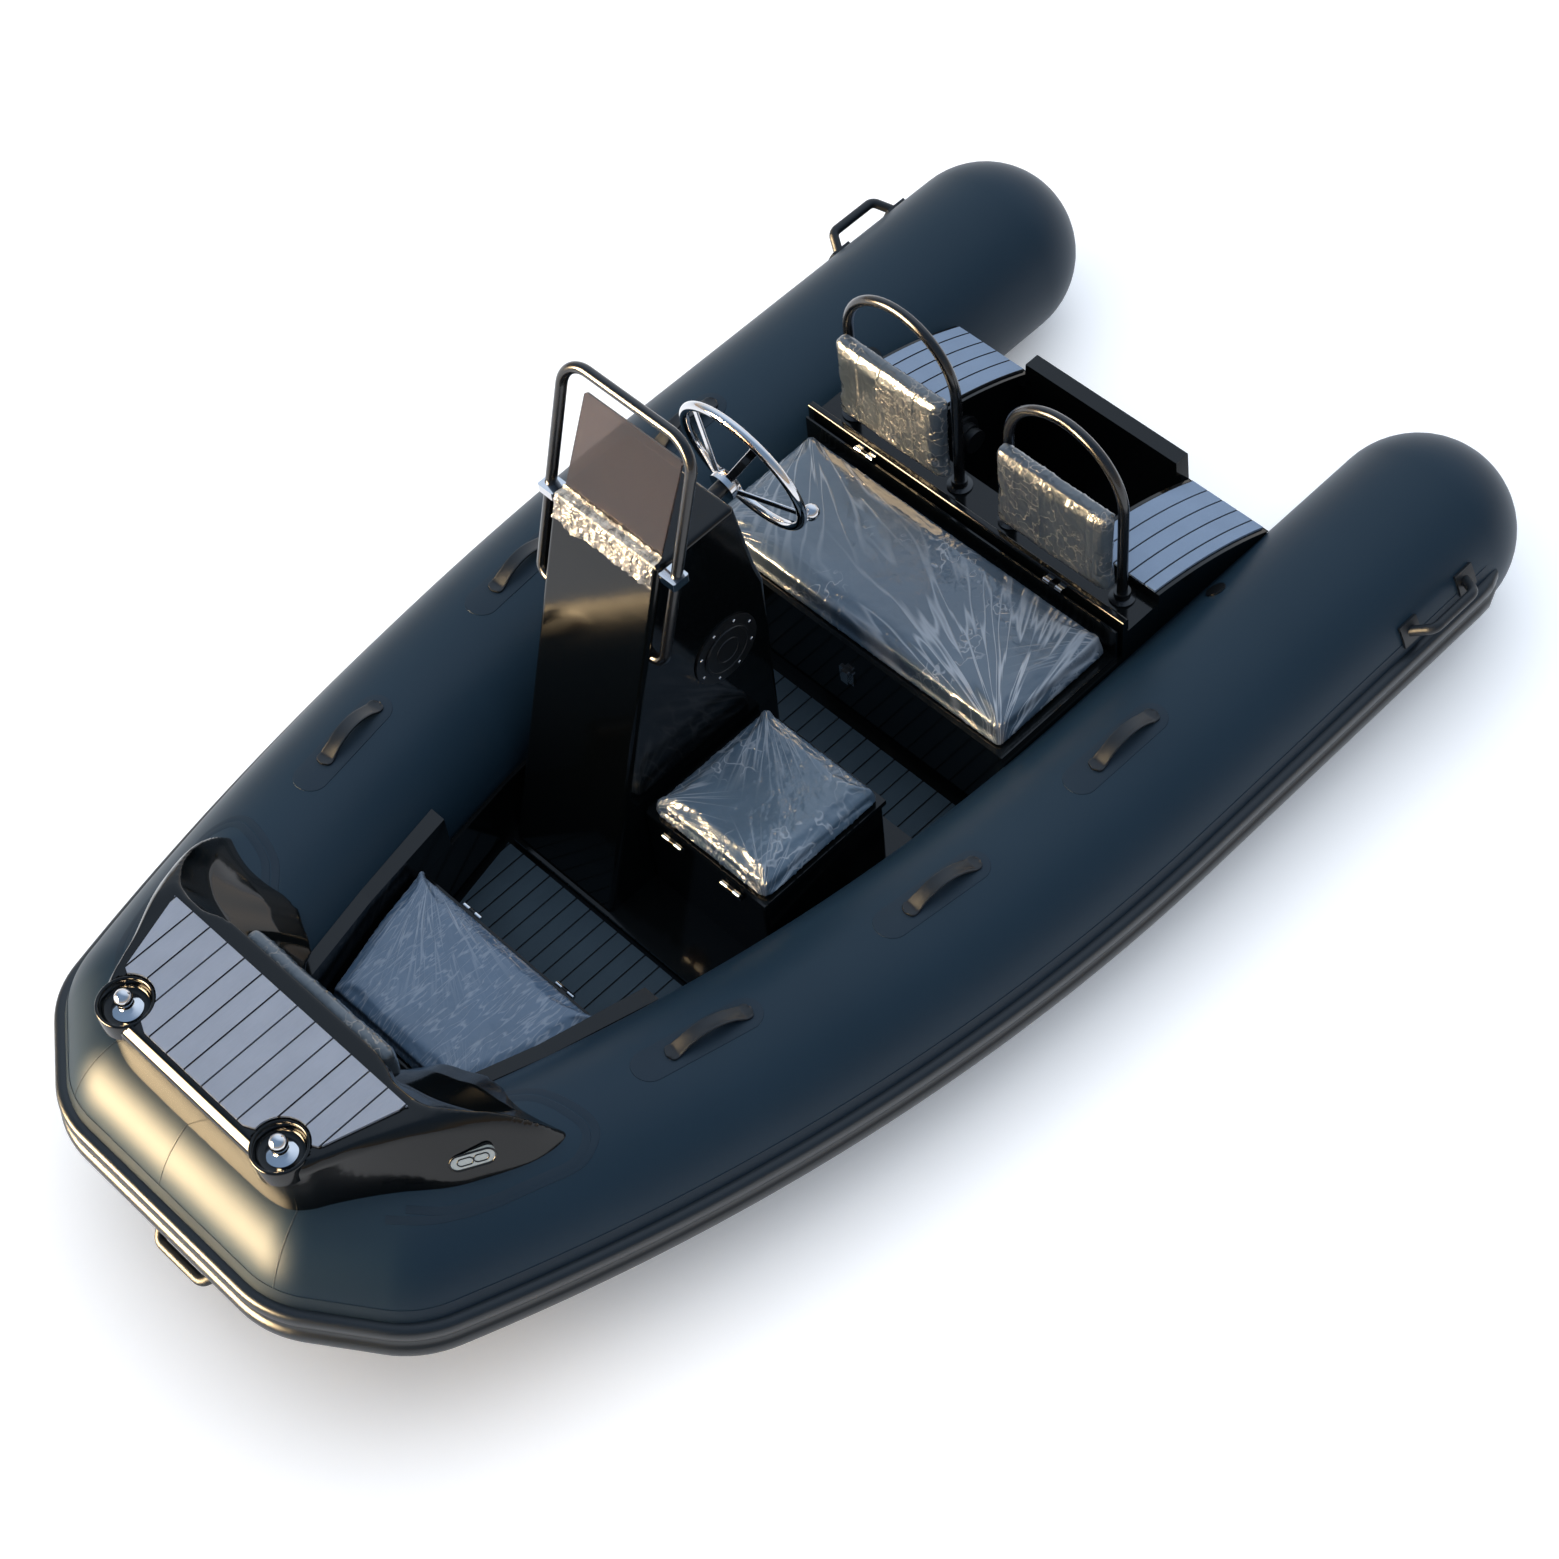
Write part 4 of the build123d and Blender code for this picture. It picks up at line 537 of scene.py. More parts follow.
# Vinyl coated upholstery cloth with a leather grain, under blown polyethylene film that was pulled tight:
# dark blue with a wet looking gloss, and folds painted pale: partly the film's whitening, partly painted
# glints
BENCH_WRAP = WrappedVinyl("film_wrapped_bench_vinyl", "#3a4a5a", mottle_mm=160, mottle=0.25, crumpled=0.35,
                          pulls=(Pull(880, 460, 760, 10.0), Pull(520, -460, 520, 8.0, 0.9),
                                 Pull(520, 470, 300, 9.0, 0.7), Pull(880, -460, 260, 9.0, 0.6)))
BOX_WRAP = WrappedVinyl("film_wrapped_box_vinyl", "#405263", mottle_mm=120, mottle=0.35, crumpled=0.6,
                        crumple_mm=46, pulls=(Pull(1136, 8, 300, 8.0, 0.8), Pull(1492, 8, 220, 9.0, 1.0),
                                              Pull(1492, 360, 230, 8.0, 0.8)))
BOW_WRAP = WrappedVinyl("film_wrapped_bow_vinyl", "#3a4f66", mottle_mm=110, mottle=0.2, crumpled=0.1,
                        pleats=0.42, crease_white_and_glint_share=0.42,
                        pulls=(Pull(1900, -255, 420, 16.0, 0.8), Pull(2245, 250, 220, 16.0, 0.7)))
# the backrests' folds are painted a warm pale, as painted glints of the low sun with the film's whitening
BACK_WRAP = WrappedVinyl("film_wrapped_backrest_vinyl", "#39434c", mottle_mm=70, mottle=0.35, crumpled=0.75,
                         crumple_mm=28, crease_mm=3.0, crease_white_and_glint_share=0.4, crease_white_and_glint="#c9c2b8")
# Blown polyethylene film left loose: clear, with folds painted pale, partly its whitening and partly painted
# glints
LOOSE_FILM = LooseFilm("crumpled_packing_film", "#e9e4da", 0.14, coat=Coat.FULL, grain_mm=30, relief_mm=4.0,
                       stretch=(1.0, 2.2, 0.6))
# Powder coat baked on bent tube: satin black with a fine orange peel
POWDER_COAT = Finish("black_powder_coat", "#090a0c", 0.26, coat=Coat.THIN, grain_mm=1.4, relief_mm=0.02)
# Stainless steel, turned or bent and polished bright
POLISHED_STEEL = Finish("polished_stainless_steel", "#d4d4d6", 0.08, metallic=1.0, grain_mm=4,
                        relief_mm=0.004, mottle=0.05)
# Cast acrylic sheet, smoked brown: it lets through some light
SMOKED_ACRYLIC = Finish("smoked_acrylic_sheet", "#6b5d57", 0.05, ior=1.49, grain_mm=60, relief_mm=0.02,
                        transmission=0.75)
# Injection moulded ABS: even, satin black
MOULDED_ABS = Finish("moulded_black_abs", "#0c0e10", 0.38, grain_mm=1.0, relief_mm=0.04)
# Moulded polycarbonate lens over a grey reflector
LAMP_LENS = Finish("moulded_lamp_lens", "#9ba3a1", 0.12, ior=1.58, coat=Coat.FULL, grain_mm=7, relief_mm=0.2)

# The finish of each piece of the frame that shows as it is
NODE_FINISH: dict[str, Finish] = {
    **dict.fromkeys(("hull", "deck_liner", "transom", "aft_steps", "bench_base", "bench_rail", "bench_lid",
                     "console_plinth", "console", "seat_box", "seat_box_lid", "bow_locker", "bow_lid",
                     "bow_coamings"), GELCOAT),
    **dict.fromkeys(("bench_hinges", "seat_box_hinges", "bow_lid_hinges", "steering_wheel", "rail_brackets",
                     "bow_eye", "bench_latch"), POLISHED_STEEL),
    **dict.fromkeys(("backrest_hoop_port", "backrest_hoop_starboard", "hoop_sockets", "grab_rail"),
                    POWDER_COAT),
    **dict.fromkeys(("stern_handles", "bow_handle"), MOULDED_RUBBER),
    **dict.fromkeys(("helm", "round_hatch", "rigging_boot", "tube_valves"), MOULDED_ABS),
    "navigation_lights": LAMP_LENS,
    "windscreen": SMOKED_ACRYLIC,
    "aft_step_pads": AFT_PLANKS,
    "bow_pad": BOW_PLANKS,
    "floor_pads": FLOOR_PLANKS,
}


def new_mesh(name: str, points: Sequence, faces: Sequence, smooth: bool = True) -> Piece:
    """Makes an object from points and faces.

    Args:
        name: the piece's name.
        points: corners in the boat's frame, in metres.
        faces: corner numbers of each face.
        smooth: whether its faces are shaded smooth.

    Returns:
        The linked object.
    """
    mesh = bpy.data.meshes.new(name)
    mesh.from_pydata([tuple(p) for p in points], [], [tuple(f) for f in faces])
    mesh.polygons.foreach_set("use_smooth", [smooth] * len(mesh.polygons))
    mesh.update()
    piece = bpy.data.objects.new(name, mesh)
    bpy.context.scene.collection.objects.link(piece)
    return piece


def lattice(rows: int, columns: int, looped: bool = True, first: int = 0) -> list[tuple[int, ...]]:
    """Quads of a grid of points that is numbered row by row.

    Args:
        rows: how many rows of points.
        columns: how many points in each row.
        looped: whether each row closes on itself.
        first: number of the grid's first point.

    Returns:
        Corner numbers of each quad.
    """
    last = columns if looped else columns - 1
    quads = []
    for row in range(rows - 1):
        for column in range(last):
            beside = (column + 1) % columns
            a, b = first + row * columns, first + (row + 1) * columns
            quads.append((a + column, a + beside, b + beside, b + column))
    return quads


def skin(name: str, rings: Sequence[Sequence[Vector]], capped: bool = True) -> Piece:
    """A form through rings of points.

    Args:
        name: the piece's name.
        rings: the rings in order, all with as many points.
        capped: whether its two ends are closed.

    Returns:
        The linked object.
    """
    columns = len(rings[0])
    faces = lattice(len(rings), columns)
    if capped:
        last = (len(rings) - 1) * columns
        faces.append(tuple(range(columns)))
        faces.append(tuple(reversed(range(last, last + columns))))
    piece = new_mesh(name, [p for ring in rings for p in ring], faces)
    tidy(piece)
    return piece


def tidy(piece: Piece, reach: float = 0.02 * MM) -> None:
    """Welds points that lie together and turns every face outward.

    Args:
        piece: the object to mend.
        reach: how near points are welded, in metres.
    """
    bm = bmesh.new()
    bm.from_mesh(piece.data)
    bmesh.ops.remove_doubles(bm, verts=bm.verts, dist=reach)
    bmesh.ops.recalc_face_normals(bm, faces=bm.faces)
    bm.to_mesh(piece.data)
    bm.free()


def joined(name: str, pieces: Iterable[Piece]) -> Piece:
    """Several pieces made one object.

    Args:
        name: the whole's name.
        pieces: the objects to join, which are then gone.

    Returns:
        The linked object.
    """
    bm = bmesh.new()
    for piece in pieces:
        bm.from_mesh(piece.data)
        bpy.data.objects.remove(piece)
    mesh = bpy.data.meshes.new(name)
    bm.to_mesh(mesh)
    bm.free()
    whole = bpy.data.objects.new(name, mesh)
    bpy.context.scene.collection.objects.link(whole)
    return whole


def mirrored(name: str, piece: Piece) -> Piece:
    """The same piece on the other side of the centreline.

    Args:
        name: the new piece's name.
        piece: the object to mirror, which stays.

    Returns:
        The linked object.
    """
    bm = bmesh.new()
    bm.from_mesh(piece.data)
    bmesh.ops.scale(bm, vec=(1, -1, 1), verts=bm.verts)
    bmesh.ops.reverse_faces(bm, faces=bm.faces)
    mesh = bpy.data.meshes.new(name)
    bm.to_mesh(mesh)
    bm.free()
    other = bpy.data.objects.new(name, mesh)
    bpy.context.scene.collection.objects.link(other)
    return other


def turned(name: str, profile: Sequence[tuple[float, float]], origin: Vector, axis: Vector,
           steps: int = 64) -> Piece:
    """A form turned on a lathe.

    Args:
        name: the piece's name.
        profile: radius and height of each corner, in millimetres, from one end of the axis to the other.
        origin: where the heights start, in metres.
        axis: direction of the heights.
        steps: how many sides its rings have.

    Returns:
        The linked object.
    """
    turn = axis.to_track_quat("Z", "Y").to_matrix()
    rings = []
    for radius, height in profile:
        angles = [2 * math.pi * step / steps for step in range(steps)]
        rings.append([origin + turn @ Vector((radius * math.cos(a), radius * math.sin(a), height)) * MM
                      for a in angles])
    return skin(name, rings)


def dress(piece: Piece, finish: Finish) -> None:
    """Gives an object one finish in place of whatever it had."""
    piece.data.materials.clear()
    piece.data.materials.append(finish.material())


def fit(piece: Piece, finish: Finish, body: str = "boat", replaces: Sequence[str] = (),
        sharp_deg: float = 40.0) -> Piece:
    """Dresses a piece and fixes it to its body.

    Args:
        piece: the finished mesh object, in place.
        finish: its surface.
        body: the moving body that carries it.
        replaces: the frame's nodes that it stands for.
        sharp_deg: edges more bent than this stay sharp.

    Returns:
        The same piece.
    """
    dress(piece, finish)
    piece.data.polygons.foreach_set("use_smooth", [True] * len(piece.data.polygons))
    piece.data.set_sharp_from_angle(angle=math.radians(sharp_deg))
    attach(piece, body)
    if replaces:
        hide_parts(*replaces)
    log.info("%s: %d faces", piece.name, len(piece.data.polygons))
    return piece


@dataclass(frozen=True)
class Station:
    """A section plane across the tube: its outward and up directions, and the way ahead."""

    origin: Vector
    outward: Vector
    up: Vector
    ahead: Vector

    def place(self, out: float, rise: float) -> Vector:
        """A point of the section, in millimetres out and up from the tube's axis."""
        return self.origin + (self.outward * out + self.up * rise) * MM

    def around(self, angle_deg: float, radius: float) -> Vector:
        """A point at an angle up from the outward side, at a radius in millimetres."""
        angle = math.radians(angle_deg)
        return self.place(radius * math.cos(angle), radius * math.sin(angle))


@dataclass
class TubeLine:
    """The port tube's axis: straight from the stern, bent in and up, and round two corners to the bow."""

    radius: float = 225.0
    half_spacing: float = 671.0
    stern_x: float = -290.0
    straight_end_x: float = 700.0
    turn_x: float = 2506.0
    turn_inset: float = 295.0
    turn_rise: float = 115.0
    corner_length: float = 156.0
    corner_steps: int = 9
    path_steps: int = 120

    def __post_init__(self) -> None:
        """Works out the bend and the two corners."""
        reach = self.turn_x - self.straight_end_x
        self.bend = 2 * math.atan2(math.hypot(self.turn_inset, self.turn_rise), reach)
        self.bend_radius = reach / math.sin(self.bend)
        self.inward = Vector((0, -self.turn_inset, self.turn_rise)).normalized()
        ahead = AHEAD * math.cos(self.bend) + self.inward * math.sin(self.bend)
        self.slope = Vector((ahead.x, 0, ahead.z)).normalized()
        self.lean = math.atan2(-ahead.y, math.hypot(ahead.x, ahead.z))
        self.swing = (math.pi / 2 - self.lean) / 2
        self.turn = at(self.turn_x, self.half_spacing - self.turn_inset, self.radius + self.turn_rise)
        corner = self.swung(self.turn, self.lean + self.swing)
        self.front = self.turn + corner.ahead * self.corner_length * MM
        self.path = [station.origin for station in self.side(self.stern_x, self.turn_x, self.path_steps)]
        self.path += [self.front, Vector((self.front.x, -self.front.y, self.front.z))]

    def swung(self, origin: Vector, angle: float) -> Station:
        """The section at a corner, swung to an angle from straight ahead.

        Args:
            origin: the corner's point on the axis.
            angle: the swing, in radians.

        Returns:
            The section's plane.
        """
        ahead = self.slope * math.cos(angle) - PORT * math.sin(angle)
        outward = self.slope * math.sin(angle) + PORT * math.cos(angle)
        return Station(origin, outward, ahead.cross(outward), ahead)

    def at_x(self, x: float) -> Station:
        """The side tube's section at a station in millimetres.

        Args:
            x: how far ahead of the transom it is.

        Returns:
            The section's plane.
        """
        reach = max(0.0, x - self.straight_end_x)
        bend = math.asin(min(1.0, reach / self.bend_radius))
        shift = self.inward * (self.bend_radius * (1 - math.cos(bend)))
        ahead = AHEAD * math.cos(bend) + self.inward * math.sin(bend)
        share = (bend / self.bend) ** 3
        outward = PORT.lerp(self.swung(Vector(), self.lean).outward, share)
        outward = (outward - ahead * outward.dot(ahead)).normalized()
        origin = at(x, self.half_spacing + shift.y, self.radius + shift.z)
        return Station(origin, outward, ahead.cross(outward), ahead)

    def side(self, start_x: float, end_x: float, count: int) -> list[Station]:
        """Evenly spaced sections of the side tube."""
        return [self.at_x(start_x + (end_x - start_x) * step / count) for step in range(count + 1)]

    def corner(self, origin: Vector, start: float) -> list[Station]:
        """Sections that swing round one corner.

        Args:
            origin: the corner's point on the axis.
            start: the first section's swing, in radians.

        Returns:
            The sections' planes, in order.
        """
        return [self.swung(origin, start + self.swing * step / self.corner_steps)
                for step in range(self.corner_steps + 1)]

    def bow(self) -> list[Station]:
        """Sections round both corners to the centreline."""
        middle = self.swung(Vector((self.front.x, 0, self.front.z)), math.pi / 2)
        return [*self.corner(self.turn, self.lean), *self.corner(self.front, self.lean + self.swing), middle]

    def drop(self, point: Vector) -> tuple[Vector, Vector]:
        """The tube's surface nearest to a point on the port side.

        Args:
            point: any point near the tube, in metres.

        Returns:
            The point on the surface, and the way out of the tube there.
        """
        best = None
        for a, b in zip(self.path, self.path[1:]):
            run = b - a
            share = max(0.0, min(1.0, (point - a).dot(run) / run.length_squared))
            near = a + run * share
            gap = (point - near).length_squared
            if best is None or gap < best[0]:
                best = (gap, near)
        outward = (point - best[1]).normalized()
        return best[1] + outward * self.radius * MM, outward


LINE = TubeLine()


@dataclass
class AirTubes:
    """The inflated tubes: one smooth skin from stern to stern round the blunt bow.

    The pole is the first ring's share of a step: a small flat cap closes the stern's dome there. The inner
    cut is how far short of the corner the side's rings stop, which leaves the mitre its room.
    """

    sides: int = 112
    dome_steps: int = 16
    pole: float = 0.15
    straight_steps: int = 8
    bent_steps: int = 44
    inner_cut: float = 92.0
    front_shares: tuple[float, ...] = (0.55, 0.25, 0.0)

    def build(self) -> None:
        """Skins the tubes and fits them in place of the frame's plain ones."""
        half = [*self.dome(), *self.run(), *self.bow()]
        other = [[Vector((p.x, -p.y, p.z)) for p in ring] for ring in reversed(half[:-1])]
        fit(skin("inflated_tubes", half + other), TUBE_FABRIC,
            replaces=("tube_port", "tube_starboard", "tube_bow"))

    def circle(self) -> list[tuple[float, float]]:
        """Out and up of each point round the tube."""
        angles = [2 * math.pi * step / self.sides for step in range(self.sides)]
        return [(LINE.radius * math.cos(a), LINE.radius * math.sin(a)) for a in angles]

    def dome(self) -> list[list[Vector]]:
        """Rings of the rounded stern end.

        Returns:
            The rings, from the pole.
        """
        base = LINE.at_x(LINE.stern_x)
        rings = []
        for step in range(self.dome_steps):
            lean = math.pi / 2 * (step + self.pole) / (self.dome_steps + self.pole)
            back = base.ahead * (-LINE.radius * math.cos(lean) * MM)
            rings.append([base.place(out * math.sin(lean), rise * math.sin(lean)) + back
                          for out, rise in self.circle()])
        return rings

    def run(self) -> list[list[Vector]]:
        """Rings of the side, up to where its inner side meets the corner.

        Returns:
            The rings, from the stern.
        """
        straight = LINE.side(LINE.stern_x, LINE.straight_end_x, self.straight_steps)[:-1]
        bent = LINE.side(LINE.straight_end_x, LINE.turn_x - self.inner_cut, self.bent_steps)
        return [[station.place(out, rise) for out, rise in self.circle()] for station in straight + bent]

    def bow(self) -> list[list[Vector]]:
        """Rings round the corners: the outer side swings, and the inner side meets in a mitre.

        Returns:
            The rings, up to the centreline.
        """
        rings = []
        for origin, start in ((LINE.turn, LINE.lean), (LINE.front, LINE.lean + LINE.swing)):
            mitre = LINE.swung(origin, start + LINE.swing / 2)
            stretch = 1 / math.cos(LINE.swing / 2)
            for station in LINE.corner(origin, start):
                rings.append([station.place(out, rise) if out >= 0 else mitre.place(out * stretch, rise)
                              for out, rise in self.circle()])
        for share in self.front_shares:
            across = LINE.swung(Vector((LINE.front.x, LINE.front.y * share, LINE.front.z)), math.pi / 2)
            rings.append([across.place(out, rise) for out, rise in self.circle()])
        return rings


@dataclass
class Strake:
    """The rubbing strake: two rounded ridges with a groove between, and a bonded tape on either side of it.

    It starts at the stern as a stub, which is a share of its taper, and is rooted a little inside the tube.
    """

    taper: float = 70.0
    stub: float = 0.06
    root: float = 3.0
    side_steps: int = 70
    tape_from_deg: float = 11.0
    tape_span_deg: float = 8.67
    tape_lift: float = 1.2
    tape_sink: float = 2.0
    tape_steps: int = 4

    def build(self) -> None:
        """Runs the strake and its tape round the tubes."""
        stations = [*LINE.side(LINE.stern_x, LINE.turn_x - 4, self.side_steps), *LINE.bow()]
        fit(self.around("ridged_strake", stations, self.section()), STRAKE_RUBBER,
            replaces=("rub_strake",))
        near, far = self.tape_from_deg, self.tape_from_deg + self.tape_span_deg
        for name, low, high in (("upper_strake_tape", near, far), ("lower_strake_tape", -far, -near)):
            fit(self.around(name, stations, self.tape(low, high)), SEAM_TAPE)

    def section(self) -> list[tuple[float, float]]:
        """Out and up of the strake's outline, from its lower root round to its inner face.

        Returns:
            The outline's corners, in millimetres from the tube's axis.
        """
        upper = [(221.0, 46.5), (228.0, 46.8), (235.0, 45.8), (241.0, 43.0), (244.6, 38.0), (245.8, 31.0),
                 (245.8, 24.0), (244.6, 18.0), (241.8, 13.5), (238.6, 10.0), (237.2, 5.0)]
        lower = [(out, -rise) for out, rise in upper]
        return [*lower, (237.0, 0.0), *reversed(upper), (214.0, 40.0), (214.0, -40.0)]

    def tape(self, low_deg: float, high_deg: float) -> list[tuple[float, float]]:
        """Out and up of a thin band on the tube between two angles.

        Args:
            low_deg: its lower edge, in degrees up from the tube's outward side.
            high_deg: its upper edge.

        Returns:
            The band's outline.
        """
        top, sunk = LINE.radius + self.tape_lift, LINE.radius - self.tape_sink
        angles = [low_deg + (high_deg - low_deg) * k / self.tape_steps for k in range(self.tape_steps + 1)]
        rows = [(low_deg, sunk), *[(angle, top) for angle in angles], (high_deg, sunk)]
        return [(r * math.cos(math.radians(a)), r * math.sin(math.radians(a))) for a, r in rows]

    def around(self, name: str, stations: list[Station], section: list[tuple[float, float]]) -> Piece:
        """Carries a section round both sides, thinned to a stub at the stern.

        Args:
            name: the piece's name.
            stations: the port side's planes, from the stern to the centreline.
            section: out and up of each corner of the section.

        Returns:
            The linked object.
        """
        start = stations[0].origin.x
        half = []
        for station in stations:
            share = min(1.0, self.stub + (station.origin.x - start) / (self.taper * MM))
            share = math.sqrt(share * (2 - share))
            half.append([self.sunk(station, out, rise, share) for out, rise in section])
        other = [[Vector((p.x, -p.y, p.z)) for p in ring] for ring in reversed(half[:-1])]
        return skin(name, half + other)

    def sunk(self, station: Station, out: float, rise: float, share: float) -> Vector:
        """A point of the section, drawn in towards the tube where the strake ends.

        Args:
            station: the section's plane.
            out: how far out the point is from the tube's axis.
            rise: how far up it is.
            share: how much of the strake's thickness is left, up to 1.

        Returns:
            The point's place.
        """
        reach = math.hypot(out, rise)
        base = LINE.radius - self.root
        kept = base + (reach - base) * share
        return station.place(out * kept / reach, rise * kept / reach)


@dataclass
class SeamLines:
    """Fine raised lines on the tubes: butt seams at the bow, and the edges of bonded patches.

    A section gives each edge's place across the line and its height: a seam is a low ridge, and a patch's
    edge is a step up that fades inward. The wing's corners were measured on the photograph.
    """

    seam: tuple[tuple[float, float], ...] = ((-2.5, -0.5), (-1.0, 0.9), (1.0, 0.9), (2.5, -0.5))
    patch_edge: tuple[tuple[float, float], ...] = ((-1.0, -0.5), (0.0, 0.9), (14.0, 0.72), (18.0, -0.5))
    patch_sizes: tuple[float, float] = (1.0, 0.86)
    corner_from_deg: int = 14
    corner_to_deg: int = 80
    corner_step_deg: int = 3
    bow_steps: int = 22
    bow_step_deg: float = 3.4
    bow_y: float = -33.0
    bow_drift: float = 6.0
    wing_steps: int = 12
    wing: tuple[Point, ...] = (
        (2569, 422, 552), (2503, 484, 538), (2408, 530, 518), (2301, 563, 505), (2217, 586, 496),
        (2166, 578, 502), (2133, 553, 512), (2128, 504, 522), (2154, 406, 515), (2205, 350, 503),
    )

    def build(self) -> None:
        """Draws the corner seams, the bow's seam and the patches under the wings."""
        corner = self.strip("corner", self.corner_seam(), self.seam)
        lines = [corner, mirrored("corner_other", corner), self.strip("bow", self.bow_seam(), self.seam)]
        outline = self.wing_outline()
        centre = sum(outline, Vector()) / len(outline)
        for grow in self.patch_sizes:
            patch = self.strip("patch", [centre + (p - centre) * grow for p in outline], self.patch_edge)
            lines += [patch, mirrored("patch_other", patch)]
        fit(joined("tube_seam_lines", lines), SEAM_TAPE)

    def corner_seam(self) -> list[Vector]:
        """Points over the tube where the front's port corner is seamed."""
        corner = LINE.swung(LINE.front, LINE.lean + 1.5 * LINE.swing)
        angles = range(self.corner_from_deg, self.corner_to_deg, self.corner_step_deg)
        return [corner.around(angle, LINE.radius) for angle in angles]

    def bow_seam(self) -> list[Vector]:
        """Points over the tube near the centreline, where the seam runs a little askew.

        Returns:
            The points, from the tube's top.
        """
        points = []
        for k in range(self.bow_steps):
            y = (self.bow_y + self.bow_drift * k / self.bow_steps) * MM
            across = LINE.swung(Vector((LINE.front.x, y, LINE.front.z)), math.pi / 2)
            points.append(across.around(90 - self.bow_step_deg * k, LINE.radius))
        return points

    def wing_outline(self) -> list[Vector]:
        """Points round the port wing's bonded patch, smoothed from its measured corners.

        Returns:
            The points, in order.
        """
        corners = [at(*corner) for corner in self.wing]
        points = []
        for k in range(len(corners) - 1):
            a, b = corners[max(0, k - 1)], corners[k]
            c, d = corners[k + 1], corners[min(len(corners) - 1, k + 2)]
            for step in range(self.wing_steps):
                points.append(self.curve(a, b, c, d, step / self.wing_steps))
        return points + [corners[-1]]

    @staticmethod
    def curve(a: Vector, b: Vector, c: Vector, d: Vector, t: float) -> Vector:
        """A point of the smooth curve between b and c, at a share t of the way."""
        second, third = 2 * a - 5 * b + 4 * c - d, 3 * b - a - 3 * c + d
        return 0.5 * (2 * b + (c - a) * t + second * t * t + third * t ** 3)

    @staticmethod
    def strip(name: str, points: list[Vector], section: Sequence[tuple[float, float]]) -> Piece:
        """A thin raised line through points on the tube.

        Args:
            name: the piece's name.
            points: the line's way, near the tube.
            section: place across the line and height of each of its edges, in millimetres.

        Returns:
            The linked object.
        """
        grid = []
        for k, point in enumerate(points):
            along = (points[min(k + 1, len(points) - 1)] - points[max(k - 1, 0)]).normalized()
            surface, outward = LINE.drop(point)
            across = outward.cross(along).normalized()
            for offset, lift in section:
                edge, edge_out = LINE.drop(surface + across * offset * MM)
                grid.append(edge + edge_out * lift * MM)
        piece = new_mesh(name, grid, lattice(len(points), len(section), looped=False))
        tidy(piece)
        return piece


